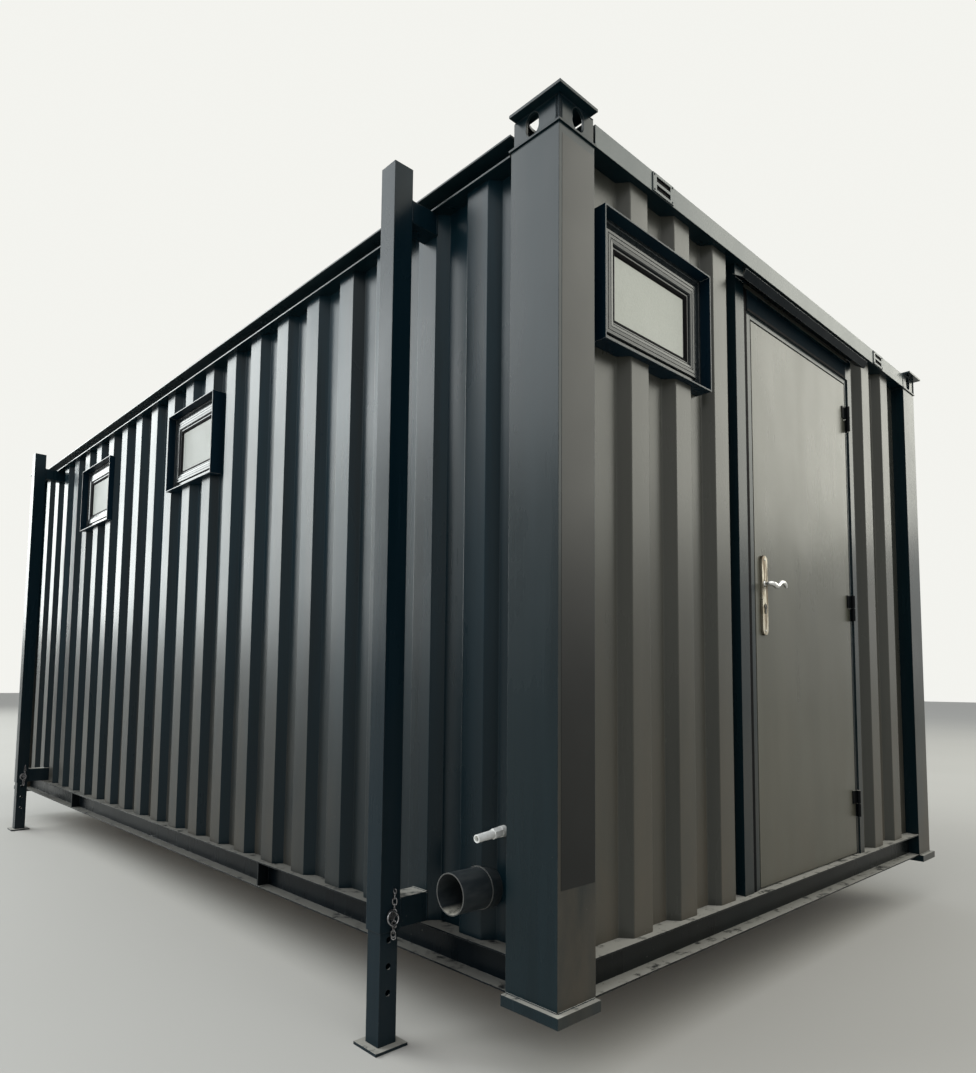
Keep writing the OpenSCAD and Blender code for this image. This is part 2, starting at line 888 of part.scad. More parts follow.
// A rectangular ring round a window, between two distances from the surround's outer edge
module window_ring(left, width, outer, inner, face, back) {
    translate([left, 0, window_bottom])
        difference() {
            translate([outer, face, outer])
                cube([width - 2 * outer, back - face, window_height - 2 * outer]);
            translate([inner, face - cut, inner])
                cube([width - 2 * inner, back - face + 2 * cut, window_height - 2 * inner]);
        }
}

// The fixed frame, the sash that stands a little in front of it and the bead round the glass
module window_frame(left, width) {
    back = frame_setback + frame_depth;
    window_ring(left, width, frame_inset, sash_inset, frame_setback, back);
    window_ring(left, width, sash_inset, bead_inset, sash_face, back);
    window_ring(left, width, bead_inset, glass_inset, bead_face, back);
}

module window_frames() {
    color(plastic) placed() {
        window_frame(front_window_left, front_window_width);
        as_side() {
            window_frame(first_side_window, side_window_width);
            window_frame(second_side_window, side_window_width);
        }
    }
}

module pane(left, width) {
    inset = glass_inset + seat;
    translate([left + inset, glass_face, window_bottom + inset])
        cube([width - 2 * inset, glass_thickness, window_height - 2 * inset]);
}

module window_glass() {
    color(clear_glass) placed() {
        pane(front_window_left, front_window_width);
        as_side() {
            pane(first_side_window, side_window_width);
            pane(second_side_window, side_window_width);
        }
    }
}

module vent(middle) {
    bottom = header_bottom + (header_height - vent_height) / 2;
    difference() {
        translate([middle - vent_width / 2, -vent_thickness - seat, bottom])
            cube([vent_width, vent_thickness, vent_height]);
        for (z = [vent_edge, vent_edge + vent_slot_pitch])
            translate([middle - vent_slot / 2, -vent_thickness - cut, bottom + z])
                cube([vent_slot, vent_thickness + 2 * cut, vent_slot_height]);
    }
}

module header_vents() {
    color(steel) placed() on_both_ends() {
        vent(vent_middle);
        vent(cabin_width - vent_middle);
    }
}

// The gutter's section: down and out from the wall, then up and out to its lip
module rain_gutter() {
    color(steel) placed()
        translate([gutter_left, 0, 0])
            rotate([90, 0, 90])
                linear_extrude(gutter_length)
                    polygon([
                        [gutter_back_y, gutter_back_z],
                        [gutter_low_y, gutter_low_z],
                        [gutter_lip_y, gutter_lip_z],
                        [gutter_lip_y + gutter_level_wall, gutter_lip_z],
                        gutter_fold,
                        [gutter_back_y, gutter_back_z + gutter_upright_wall]
                    ]);
}

// The left jamb has two faces with a deep groove between them, and only the outer face's part
// goes on beside the panel over the door, up to the header
module left_jamb_shape() {
    groove = jamb_left_edge + left_jamb_face;
    difference() {
        translate([jamb_left_edge, frame_face, 0]) cube([left_jamb, frame_back - frame_face, head_top]);
        translate([groove, frame_face - cut, -cut])
            cube([jamb_groove_width, jamb_groove_depth + cut, head_top + 2 * cut]);
        translate([groove, frame_face - cut, -cut])
            cube([left_jamb, door_face - frame_face + cut, head_bottom + inner_face + cut]);
    }
    translate([jamb_left_edge, frame_face, 0]) cube([left_jamb_face, lining_back - frame_face, jamb_top]);
}

module right_jamb_shape() {
    difference() {
        translate([land_right, frame_face, 0]) cube([right_jamb, frame_back - frame_face, head_top]);
        translate([land_right - cut, frame_face - cut, -cut])
            cube([inner_face + cut, door_face - frame_face + cut, head_bottom + inner_face + cut]);
    }
    translate([jamb_right_edge - right_jamb_face, frame_face, 0])
        cube([right_jamb_face, lining_back - frame_face, jamb_top]);
}

module frame_head_shape() {
    length = land_right - land_left - 2 * seat;
    difference() {
        translate([land_left + seat, frame_face, head_bottom])
            cube([length, frame_back - frame_face, frame_head]);
        translate([land_left, frame_face - cut, head_bottom - cut])
            cube([length + 2 * seat, door_face - frame_face + cut, inner_face + cut]);
    }
}

module door_frame() {
    color(steel) placed() {
        left_jamb_shape();
        right_jamb_shape();
        frame_head_shape();
    }
}

module door_stops() {
    depth = frame_back - stop_face;
    color(steel) placed() {
        translate([land_left + seat, stop_face, 0])
            cube([door_gap + stop_overlap, depth, head_bottom - seat]);
        translate([door_right - stop_overlap, stop_face, 0])
            cube([door_gap + stop_overlap - seat, depth, head_bottom - seat]);
        translate([door_left + stop_overlap + 2 * seat, stop_face, door_top - stop_overlap])
            cube([door_width - 2 * stop_overlap - 4 * seat, depth, door_gap + stop_overlap - seat]);
    }
}

// The outline of a key cylinder, drawn in the x-z plane and extruded along y
module cylinder_outline(depth, extra) {
    rotate([-90, 0, 0]) cylinder(h = depth, r = cylinder_plug_radius + extra);
    translate([-cylinder_web / 2 - extra, 0, -cylinder_drop - extra])
        cube([cylinder_web + 2 * extra, depth, cylinder_drop]);
}

module door_leaf() {
    color(steel) placed()
        difference() {
            translate([0, 0, door_bottom])
                linear_extrude(door_height)
                    polygon([[door_left, door_face], [door_right, door_face],
                        [door_right, door_back], [door_left + lock_edge_bevel, door_back]]);
            translate([lock_x, door_face - cut, lever_z])
                rotate([-90, 0, 0])
                    cylinder(h = door_thickness + 2 * cut, r = spindle_radius + spindle_clearance);
            translate([lock_x, door_face - cut, cylinder_z])
                cylinder_outline(door_thickness + 2 * cut, seat);
        }
}

// The lower knuckle with its pin, on a plate that is welded to the jamb's inner face
module hinge_frame_half(bottom) {
    height = hinge_height / 2 - hinge_half_gap;
    plate_y = door_face - seat - hinge_plate;
    web_y = door_face - seat - hinge_y;
    translate([hinge_x, hinge_y, bottom]) {
        cylinder(h = height, r = knuckle_radius);
        cylinder(h = hinge_height - hinge_pin_drop, r = hinge_pin_radius);
    }
    translate([land_right, hinge_y, bottom]) cube([hinge_web, web_y, height]);
    translate([land_right, plate_y, bottom]) cube([inner_face - seat, hinge_plate, height]);
}

// The upper knuckle, on a plate that is welded to the leaf
module hinge_door_half(bottom) {
    height = hinge_height / 2 - hinge_half_gap;
    plate_y = door_face - seat - hinge_plate;
    web_y = door_face - seat - hinge_y;
    translate([0, 0, bottom + hinge_height - height])
        difference() {
            union() {
                translate([hinge_x, hinge_y, 0]) cylinder(h = height, r = knuckle_radius);
                translate([door_right - hinge_web, hinge_y, 0]) cube([hinge_web, web_y, height]);
                translate([door_right - hinge_reach, plate_y, 0]) cube([hinge_reach, hinge_plate, height]);
            }
            translate([hinge_x, hinge_y, -cut])
                cylinder(h = height - hinge_cap + cut, r = hinge_pin_radius + running_clearance);
        }
}

module hinge_frame_halves() {
    color(steel) placed() for (bottom = hinge_heights) hinge_frame_half(bottom);
}

module hinge_door_halves() {
    color(steel) placed() for (bottom = hinge_heights) hinge_door_half(bottom);
}

// A long plate with round ends, a hole for the lever's boss and one for the key cylinder
module lock_plate(face) {
    end = lock_plate_width / 2;
    difference() {
        union() {
            translate([lock_x - end, face, lock_plate_bottom + end])
                cube([lock_plate_width, lock_plate_thickness, lock_plate_height - 2 * end]);
            for (z = [end, lock_plate_height - end])
                translate([lock_x, face, lock_plate_bottom + z])
                    rotate([-90, 0, 0]) cylinder(h = lock_plate_thickness, r = end);
        }
        translate([lock_x, face - cut, lever_z])
            rotate([-90, 0, 0]) cylinder(h = lock_plate_thickness + 2 * cut, r = boss_radius + lever_play);
        translate([lock_x, face - cut, cylinder_z])
            cylinder_outline(lock_plate_thickness + 2 * cut, seat);
    }
}

module lock_plates() {
    color(satin_metal) placed() {
        lock_plate(door_face - seat - lock_plate_thickness);
        lock_plate(door_back + seat);
    }
}

module lock_cylinder() {
    reach = lock_plate_thickness + cylinder_reach;
    color(satin_metal) placed()
        translate([lock_x, door_face - reach, cylinder_z])
            cylinder_outline(door_thickness + 2 * reach, 0);
}

// The middle line of the lever's bar: one wave that hangs down a little towards its end
function lever_line(t) = [t * lever_length, -lever_wave * sin(360 * t) - lever_droop * t];

// One lever: a boss, a neck that leaves the door and a waved bar along the door
module lever() {
    neck = door_face - lever_bar_y;
    half = lever_bar_height / 2;
    upper = [for (i = [0 : lever_steps]) lever_line(i / lever_steps) + [0, half]];
    lower = [for (i = [lever_steps : -1 : 0]) lever_line(i / lever_steps) - [0, half]];
    tip = lever_line(1);
    rotate([90, 0, 0]) cylinder(h = neck, r = neck_radius);
    rotate([90, 0, 0]) cylinder(h = lock_plate_thickness + boss_height, r = boss_radius);
    translate([0, lever_bar_depth / 2 - neck, 0]) rotate([90, 0, 0]) {
        cylinder(h = lever_bar_depth, r = neck_radius);
        linear_extrude(lever_bar_depth) polygon(concat(upper, lower));
        translate(tip) cylinder(h = lever_bar_depth, r = half);
    }
}

module door_lever() {
    color(satin_metal) placed()
        translate([lock_x, 0, lever_z]) {
            translate([0, door_face - lever_play, 0]) lever();
            translate([0, door_back + lever_play, 0]) mirror([0, 1, 0]) lever();
            translate([0, door_face - cut, 0])
                rotate([-90, 0, 0]) cylinder(h = door_thickness + 2 * cut, r = spindle_radius);
        }
}

// Places a shape, drawn from a sleeve's outer front corner, at each of the four jacklegs
module at_each_jackleg() {
    on_both_sides()
        for (distance = [front_sleeve, rear_sleeve])
            translate([-sleeve_gap - sleeve_width, distance, 0]) children();
}

module square_tube(width, wall, bottom, top) {
    translate([0, 0, bottom])
        difference() {
            cube([width, width, top - bottom]);
            translate([wall, wall, -cut])
                cube([width - 2 * wall, width - 2 * wall, top - bottom + 2 * cut]);
        }
}

module pin_hole(height, radius) {
    translate([sleeve_width / 2, -sleeve_width, height])
        rotate([-90, 0, 0]) cylinder(h = 3 * sleeve_width, r = radius);
}

module jackleg_sleeves() {
    color(steel) placed() at_each_jackleg()
        difference() {
            square_tube(sleeve_width, sleeve_wall, -sleeve_drop, sleeve_top);
            pin_hole(pin_height, hole_radius);
        }
}

// A box arm from a sleeve to the wall, cut to the folds of the side sheet
module side_arm(distance, bottom, height) {
    translate([-sleeve_gap, distance, bottom])
        cube([sleeve_gap + inner_flat_depth, sleeve_width, height]);
}

module jackleg_arms() {
    color(steel) placed() on_both_sides()
        difference() {
            for (distance = [front_sleeve, rear_sleeve]) {
                side_arm(distance, seat, lower_arm_height);
                side_arm(distance, upper_arm_bottom, upper_arm_height);
            }
            behind_side_sheet();
        }
}

module jackleg_inner_legs() {
    lowest_hole = pin_height - holes_below_pin * hole_pitch;
    color(steel) placed() at_each_jackleg()
        difference() {
            translate([leg_inset, leg_inset, 0])
                square_tube(leg_width, leg_wall, leg_bottom, leg_bottom + leg_length);
            for (i = [0 : hole_count - 1])
                pin_hole(lowest_hole + i * hole_pitch, hole_radius);
        }
}

module jackleg_foot_plates() {
    edge = (sleeve_width - foot_width) / 2;
    color(steel) placed() at_each_jackleg()
        translate([edge, edge, -ledge_height]) cube([foot_width, foot_width, foot_thickness]);
}

module jackleg_pins() {
    color(steel) placed() at_each_jackleg()
        translate([sleeve_width / 2, -pin_reach, pin_height])
            rotate([-90, 0, 0]) {
                cylinder(h = sleeve_width + 2 * pin_reach, r = pin_radius);
                cylinder(h = pin_head, r = pin_head_radius);
            }
}

// The pipe, with the sealant that fills its hole in the wall
module soil_pipe() {
    length = soil_pipe_reach + lining_back;
    color(plastic) placed()
        translate([-soil_pipe_reach, soil_pipe_distance, soil_pipe_height])
            rotate([0, 90, 0])
                difference() {
                    union() {
                        cylinder(h = length, r = soil_pipe_radius);
                        translate([0, 0, soil_pipe_reach + soil_seal_start])
                            cylinder(h = lining_back - soil_seal_start, r = soil_pipe_radius + sealant);
                    }
                    translate([0, 0, -cut])
                        cylinder(h = length + 2 * cut, r = soil_pipe_radius - soil_pipe_wall);
                }
}

// The pipe slopes down to its open end, and its nut stands half in the wall
module water_pipe() {
    length = water_pipe_reach + lining_back;
    color(white_plastic) placed()
        at_water_pipe()
            difference() {
                union() {
                    translate([0, 0, -water_pipe_reach]) cylinder(h = length, r = water_pipe_radius);
                    translate([0, 0, nut_start]) cylinder(h = nut_length, r = nut_radius, $fn = 6);
                    translate([0, 0, nut_start + nut_length])
                        cylinder(h = lining_back - nut_start - nut_length, r = nut_radius);
                }
                translate([0, 0, -water_pipe_reach - cut])
                    cylinder(h = length + 2 * cut, r = water_pipe_radius - water_pipe_wall);
            }
}

front_bottom_rail();
rear_bottom_rail();
left_bottom_rail();
right_bottom_rail();
floor_joists();
floor_deck();
base_pads();
front_left_post();
front_right_post();
rear_left_post();
rear_right_post();
front_left_lifting_box();
front_right_lifting_box();
rear_left_lifting_box();
rear_right_lifting_box();
front_header();
rear_header();
left_top_rail();
right_top_rail();
roof_sheet();
ceiling_panel();
front_wall_sheet();
rear_wall_sheet();
left_wall_sheet();
right_wall_sheet();
front_wall_lining();
rear_wall_lining();
left_wall_lining();
right_wall_lining();
window_surrounds();
window_frames();
window_glass();
header_vents();
rain_gutter();
door_frame();
door_stops();
door_leaf();
hinge_frame_halves();
hinge_door_halves();
lock_plates();
lock_cylinder();
door_lever();
jackleg_sleeves();
jackleg_arms();
jackleg_inner_legs();
jackleg_foot_plates();
jackleg_pins();
soil_pipe();
water_pipe();
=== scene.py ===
"""Looks of the jackleg site cabin: paint, glass, welds, chains, window profiles, light and camera.

A place on the cabin is given in millimetres as in the CAD source: x from the left posts, y from
the front posts, z from the ledge on which the walls stand. place() turns it into metres in the
shared frame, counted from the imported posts. Pieces at the door are placed from its nodes' boxes.
"""

import math

import bmesh
import bpy
from mathutils import Matrix, Vector, noise


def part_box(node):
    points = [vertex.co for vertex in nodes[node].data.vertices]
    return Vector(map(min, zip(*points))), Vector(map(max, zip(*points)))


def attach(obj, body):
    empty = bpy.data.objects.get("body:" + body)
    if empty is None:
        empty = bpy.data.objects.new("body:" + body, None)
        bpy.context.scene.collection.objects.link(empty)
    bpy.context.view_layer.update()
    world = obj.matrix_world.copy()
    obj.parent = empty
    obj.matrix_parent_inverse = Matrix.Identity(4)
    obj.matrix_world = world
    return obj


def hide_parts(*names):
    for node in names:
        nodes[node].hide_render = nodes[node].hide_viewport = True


MM = 0.001

# Sizes that the CAD source gives, in millimetres
BOTTOM_RAIL_HEIGHT = 97
POST_FRONT = 147
POST_SIDE = 177
CAP_TOP = 2184
BOX_FRONT = 143
BOX_SIDE = 166
BOX_TOP = 2256
OUTER_FLAT_DEPTH = 23
VENT_MIDDLE = 484
VENT_FACE = 3
VENT_SLOTS = (2203, 2229)  # middle heights
WINDOW_BOTTOM = 1650
WINDOW_HEIGHT = 391
FRONT_WINDOW = (197, 561)  # left edge and width
SIDE_WINDOWS = ((2118, 530), (3565, 530))
FRAME_FACE = 24
JAMB_GROOVE = 1027.5
GROOVE_WIDTH = 24
STEP_HEIGHT = 2039.5
FRAME_TOP = 2119.5
LEVER_HEIGHT = 185  # of the spindle over the lock plates' lower end
SLEEVE_GAP = 76
SLEEVE_WIDTH = 68
SLEEVE_STARTS = (527, 4700)
LOWER_ARM = (0, 83)  # bottom and top
UPPER_ARM = (2099.7, 2169.7)
PIN_HEIGHT = 44
PIN_REACH = 12  # how far a pin's head stands out of its sleeve
NUT = (14, 43)  # where the water pipe's nut begins and ends, in from the left posts

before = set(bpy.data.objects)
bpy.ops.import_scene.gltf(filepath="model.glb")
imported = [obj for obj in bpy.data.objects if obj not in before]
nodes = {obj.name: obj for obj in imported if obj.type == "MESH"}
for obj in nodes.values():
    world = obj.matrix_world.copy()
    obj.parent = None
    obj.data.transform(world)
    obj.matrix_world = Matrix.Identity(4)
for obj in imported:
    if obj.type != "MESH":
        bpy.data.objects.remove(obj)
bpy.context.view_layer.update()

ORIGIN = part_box("front_left_post")[0] + Vector((0, 0, BOTTOM_RAIL_HEIGHT * MM))
FAR_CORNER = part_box("rear_right_post")[1]
CABIN_WIDTH = (FAR_CORNER.x - ORIGIN.x) / MM
CABIN_LENGTH = (FAR_CORNER.y - ORIGIN.y) / MM


def place(x, y, z):
    """A place on the cabin, given in millimetres, as a point of the shared frame."""
    return ORIGIN + Vector((x, y, z)) * MM


# Materials


class Shader:
    """A material whose nodes are made by short calls."""

    def __init__(self, name):
        self.material = bpy.data.materials.new(name)
        self.material.use_nodes = True
        self.tree = self.material.node_tree
        self.surface = self.tree.nodes["Principled BSDF"]
        self.coordinates = self.node("ShaderNodeTexCoord").outputs["Object"]
        self.normal_facing = self.node("ShaderNodeNewGeometry").outputs["Normal"]

    def node(self, kind, values=None, **settings):
        made = self.tree.nodes.new(kind)
        for key, value in settings.items():
            setattr(made, key, value)
        for key, value in (values or {}).items():
            self.put(made.inputs[key], value)
        return made

    def put(self, socket, value):
        """Links a socket to another one, or sets its value."""
        if isinstance(value, bpy.types.NodeSocket):
            self.tree.links.new(value, socket)
        else:
            socket.default_value = value

    def finish(self, **values):
        """Sets the surface's own inputs."""
        for key, value in values.items():
            self.put(self.surface.inputs[key.replace("_", " ")], value)
        return self.material

    def noise(self, scale, detail=3.0, roughness=0.5, stretch=(1, 1, 1)):
        mapped = self.node("ShaderNodeMapping", {"Vector": self.coordinates, "Scale": stretch})
        made = self.node("ShaderNodeTexNoise", {
            "Vector": mapped.outputs["Vector"], "Scale": scale, "Detail": detail,
            "Roughness": roughness})
        return made.outputs["Fac"]

    def cells(self, scale, feature="F1"):
        values = {"Vector": self.coordinates, "Scale": scale}
        return self.node("ShaderNodeTexVoronoi", values, feature=feature).outputs["Distance"]

    def spread(self, value, low, high, to_low=0.0, to_high=1.0):
        """Maps a value from one range to another, held at the ends."""
        made = self.node("ShaderNodeMapRange", {
            "Value": value, "From Min": low, "From Max": high, "To Min": to_low, "To Max": to_high})
        return made.outputs["Result"]

    def math(self, operation, first, second=0.0):
        made = self.node("ShaderNodeMath", operation=operation)
        self.put(made.inputs[0], first)
        self.put(made.inputs[1], second)
        return made.outputs["Value"]

    def times(self, *values):
        product = values[0]
        for value in values[1:]:
            product = self.math("MULTIPLY", product, value)
        return product

    def mix(self, amount, first, second):
        made = self.node("ShaderNodeMix", data_type="RGBA")
        self.put(made.inputs["Factor"], amount)
        for socket, value in ((made.inputs[6], first), (made.inputs[7], second)):
            self.put(socket, value if isinstance(value, bpy.types.NodeSocket) else (*value, 1.0))
        return made.outputs[2]

    def axis(self, vector, name):
        return self.node("ShaderNodeSeparateXYZ", {"Vector": vector}).outputs[name]

    def rounded(self, radius):
        return self.node("ShaderNodeBevel", {"Radius": radius}, samples=4).outputs["Normal"]

    def bump(self, height, distance, strength=1.0, normal=None):
        made = self.node("ShaderNodeBump", {"Height": height, "Distance": distance, "Strength": strength})
        if normal is not None:
            self.put(made.inputs["Normal"], normal)
        return made.outputs["Normal"]

    def looks_along(self, axis, most=1.0):
        """Most where the surface looks along an axis, either way, and zero where it looks elsewhere."""
        share = self.math("ABSOLUTE", self.axis(self.normal_facing, axis))
        return self.spread(share, 0.86, 0.97, 0.0, most)

    def edges(self, rounded, low=0.04, high=0.3):
        """One at the edges that a rounded normal finds, zero on the flats."""
        aligned = self.node("ShaderNodeVectorMath", operation="DOT_PRODUCT")
        self.put(aligned.inputs[0], rounded)
        self.put(aligned.inputs[1], self.normal_facing)
        bent = self.math("SUBTRACT", 1.0, aligned.outputs["Value"])
        return self.spread(bent, low, high)


PAINT = (0.0014, 0.0090, 0.0125)
PAINT_PALE = (0.0040, 0.0145, 0.0195)
PAINT_IOR = 1.31
# Brown of soil on the walls, partly a painted reflection of brown ground
EARTH_AND_GROUND_REFLECTION = (0.085, 0.068, 0.047)
DUST = (0.40, 0.385, 0.34)
# Colour of lightened edges: partly rubbed paint, partly a painted highlight along the edges
WORN_AND_HIGHLIT_EDGE = (0.16, 0.17, 0.17)
# Heights over the ground, in metres: where the soil (partly a painted reflection of brown ground),
# the splashes and the painted light that makes the paint paler higher up begin and end
EARTH_AND_REFLECTION_BAND = (0.25, 1.5)
SPLASH_BAND = (0.25, 1.05)
PAINTED_LIGHT_BAND = (0.6, 2.2)
# Along the side walls the soil and painted ground reflection begin behind the front jacklegs
CLEAN_TO = place(0, 500, 0).y
EARTH_AND_REFLECTION_FROM = place(0, 1800, 0).y


def earth_and_reflection_cover(made, height, earth_and_reflection, side_earth_and_reflection):
    """How much soil, partly a painted reflection of brown ground, lies on the flats of the walls: low down,
    in patches.
    """
    behind_leg = made.spread(made.axis(made.coordinates, "Y"), CLEAN_TO, EARTH_AND_REFLECTION_FROM)
    on_sides = made.times(made.looks_along("X", side_earth_and_reflection), behind_leg)
    flats = made.times(made.math("ADD", made.looks_along("Y"), on_sides), earth_and_reflection)
    low_down = made.spread(height, *EARTH_AND_REFLECTION_BAND, 1.0, 0.0)
    patchy = made.spread(made.noise(6.0, 5.0, 0.65, stretch=(1, 1, 0.35)), 0.3, 0.75, 0.25, 1.0)
    return made.times(low_down, patchy, flats)


def splash_cover(made, height):
    """How much dried splashes cover: few and small, near the ground."""
    drops = made.spread(made.cells(38.0), 0.02, 0.075, 1.0, 0.0)
    few = made.spread(made.noise(5.0, 2.0), 0.52, 0.62)
    near_ground = made.spread(height, *SPLASH_BAND, 1.0, 0.0)
    return made.times(drops, few, near_ground, 0.35)


def dust_cover(made):
    """How much dust lies on what looks up, with ragged edges."""
    level = made.spread(made.axis(made.normal_facing, "Z"), 0.55, 0.9)
    ragged = made.spread(made.noise(24.0, 5.0, 0.68), 0.33, 0.46)
    return made.times(level, ragged)


def worn_and_highlit_edges(made, rounded, even):
    """How much the edges are lightened, partly by rubbing and partly as painted highlight: evenly, or in
    patches.
    """
    worn_and_highlit = made.edges(rounded)
    if even:
        return worn_and_highlit
    return made.times(worn_and_highlit, made.spread(made.noise(22.0, 4.0, 0.7), 0.4, 0.62))


def painted_steel(name, colour=PAINT, pale=PAINT_PALE, front_colour=None, roughness=0.26, ior=PAINT_IOR,
                  waves=0.0025, wave_size=2.2, peel=0.00012, painted_light_upward=0.0, earth_and_reflection=0.5, side_earth_and_reflection=0.12, dust=0.8,
                  corner=0.0025, edge_wear_and_highlight=WORN_AND_HIGHLIT_EDGE, edge_wear_and_highlight_amount=0.55, even_edge_highlight=False):
    """Brushed and sprayed anthracite paint: streaks, orange peel, dust on ledges, soil low down that is
    partly a painted reflection of brown ground, paint drawn paler higher up as painted light, and edges
    lightened partly by rubbing and partly as painted highlight.

    waves and peel are depths in metres, wave_size is how many waves a metre has, and corner is the
    radius of the lightened edges. The amounts of painted light, soil, soil on the sides, dust and edge
    lightening say how much of each shows.
    """
    made = Shader(name)
    height = made.axis(made.coordinates, "Z")
    streaks = made.noise(9.0, 4.0, 0.6, stretch=(1, 1, 0.06))
    blotches = made.noise(1.3, 4.0, 0.55)
    rounded = made.rounded(corner)
    earth_and_reflection_share = earth_and_reflection_cover(made, height, earth_and_reflection, side_earth_and_reflection)
    dusty = dust_cover(made)

    # Painted light: the paint is drawn paler higher up, where more light falls
    painted_light_by_height = made.spread(height, *PAINTED_LIGHT_BAND, 1.0 - painted_light_upward, 1.0)
    body = made.mix(made.times(made.spread(streaks, 0.35, 0.7), painted_light_by_height), colour, pale)
    if front_colour:
        weathered = made.times(made.looks_along("Y"), made.spread(blotches, 0.2, 0.8, 0.6, 1.0))
        body = made.mix(weathered, body, front_colour)
    # Soil low on the flats, partly a painted reflection of brown ground
    body = made.mix(earth_and_reflection_share, body, EARTH_AND_GROUND_REFLECTION)
    body = made.mix(splash_cover(made, height), body, DUST)
    # Lightened edges: partly rubbing, partly painted highlight; where they are even, only painted highlight
    body = made.mix(made.times(worn_and_highlit_edges(made, rounded, even_edge_highlight), edge_wear_and_highlight_amount), body, edge_wear_and_highlight)
    body = made.mix(made.times(dusty, dust), body, DUST)

    gloss = made.spread(blotches, 0.3, 0.75, roughness - 0.07, roughness + 0.05)
    gloss = made.math("ADD", gloss, made.spread(streaks, 0.35, 0.65, 0.01, 0.06))
    gloss = made.math("ADD", gloss, made.times(earth_and_reflection_share, 0.22))
    gloss = made.math("ADD", gloss, made.times(dusty, 0.4))

    sheet = made.bump(made.noise(wave_size, 2.0, 0.45, stretch=(1, 1, 0.5)), waves, 1.0, rounded)
    skin = made.bump(made.noise(160.0, 2.0, 0.6), peel, 1.0, sheet)
    skin = made.bump(dusty, 0.0012, 1.0, skin)
    return made.finish(Base_Color=body, Roughness=gloss, Normal=skin, IOR=ior)


def window_profile_material():
    """Dark foil of plastic window profiles, with a painted highlight along each edge."""
    made = Shader("window_foil")
    rounded = made.rounded(0.0008)
    grain = made.noise(60.0, 3.0, 0.6)
    body = made.mix(made.spread(grain, 0.35, 0.7), (0.012, 0.016, 0.018), (0.022, 0.026, 0.028))
    # Painted highlight: a light line along each edge
    body = made.mix(made.edges(rounded), body, (0.42, 0.43, 0.42))
    gloss = made.spread(grain, 0.3, 0.7, 0.09, 0.15)
    return made.finish(Base_Color=body, Roughness=gloss, IOR=PAINT_IOR,
                       Normal=made.bump(made.noise(500.0, 2.0), 0.00008, 1.0, rounded))


def rubber():
    """Matt black rubber of seals and screens, also used as painted shade in the keyhole, the jamb's groove
    and under the head's step.
    """
    made = Shader("black_rubber_and_painted_shade")
    grain = made.noise(300.0, 3.0, 0.6)
    body = made.mix(grain, (0.002, 0.002, 0.0025), (0.006, 0.006, 0.007))
    return made.finish(Base_Color=body, Roughness=made.spread(grain, 0.3, 0.7, 0.55, 0.75), IOR=1.12,
                       Normal=made.bump(grain, 0.0001))


def obscured_glass():
    """Pale patterned glass that hides the room behind it."""
    made = Shader("patterned_glass")
    pattern = made.cells(210.0, "SMOOTH_F1")
    ripple = made.noise(90.0, 2.0, 0.5)
    clouds = made.noise(4.0, 4.0, 0.6)
    body = made.mix(made.spread(clouds, 0.35, 0.7), (0.52, 0.53, 0.47), (0.585, 0.59, 0.53))
    along = made.axis(made.coordinates, "Y")
    side_window_shade = made.spread(along, place(0, 900, 0).y, place(0, 1000, 0).y)
    # Painted shade: the glass in the side windows is drawn darker than the same glass in the front
    body = made.mix(side_window_shade, body, (0.36, 0.37, 0.345))
    body = made.mix(made.spread(pattern, 0.1, 0.7, 0.0, 0.14), body, (0.25, 0.26, 0.22))
    relief = made.bump(pattern, 0.0005, 0.7, made.bump(ripple, 0.0006, 0.6))
    return made.finish(Base_Color=body, Roughness=made.spread(clouds, 0.3, 0.7, 0.34, 0.44), Normal=relief,
                       IOR=1.15)


def satin_plate():
    """Brushed plate with brown runs and a dark rim that is painted shadow round its edge."""
    made = Shader("satin_plate")
    brushed = made.noise(240.0, 4.0, 0.6, stretch=(1, 1, 0.02))
    stain = made.noise(26.0, 4.0, 0.65)
    runs = made.noise(70.0, 3.0, 0.6, stretch=(1, 1, 0.10))
    rounded = made.rounded(0.0022)
    body = made.mix(made.spread(brushed, 0.3, 0.7), (0.40, 0.365, 0.29), (0.56, 0.52, 0.43))
    body = made.mix(made.spread(stain, 0.46, 0.66, 0.0, 0.6), body, (0.20, 0.15, 0.095))
    body = made.mix(made.spread(runs, 0.47, 0.53, 0.0, 0.9), body, (0.085, 0.056, 0.028))
    # Painted shadow: a dark rim round the plate's edge
    body = made.mix(made.edges(made.rounded(0.0045), 0.02, 0.12), body, (0.020, 0.018, 0.014))
    return made.finish(Base_Color=body, Metallic=1.0, Roughness=made.spread(stain, 0.3, 0.7, 0.26, 0.42),
                       Normal=made.bump(brushed, 0.00006, 1.0, rounded))


def bright_metal(name="bright_metal", colour=(0.74, 0.74, 0.73), roughness=0.14):
    """Polished metal with faint smears."""
    made = Shader(name)
    smear = made.noise(70.0, 4.0, 0.6)
    body = made.mix(made.spread(smear, 0.35, 0.75), colour, tuple(0.72 * c for c in colour))
    return made.finish(Base_Color=body, Metallic=1.0,
                       Roughness=made.spread(smear, 0.3, 0.7, roughness, roughness + 0.12),
                       Normal=made.bump(made.noise(420.0, 2.0), 0.00004, 1.0, made.rounded(0.002)))


def dark_steel():
    """Oiled steel of chains and rings, with patches of rust."""
    made = Shader("chain_steel")
    rust = made.noise(120.0, 4.0, 0.7)
    body = made.mix(made.spread(rust, 0.45, 0.68), (0.26, 0.26, 0.27), (0.040, 0.034, 0.030))
    return made.finish(Base_Color=body, Metallic=0.9, Roughness=made.spread(rust, 0.3, 0.7, 0.18, 0.4),
                       Normal=made.bump(rust, 0.0002))


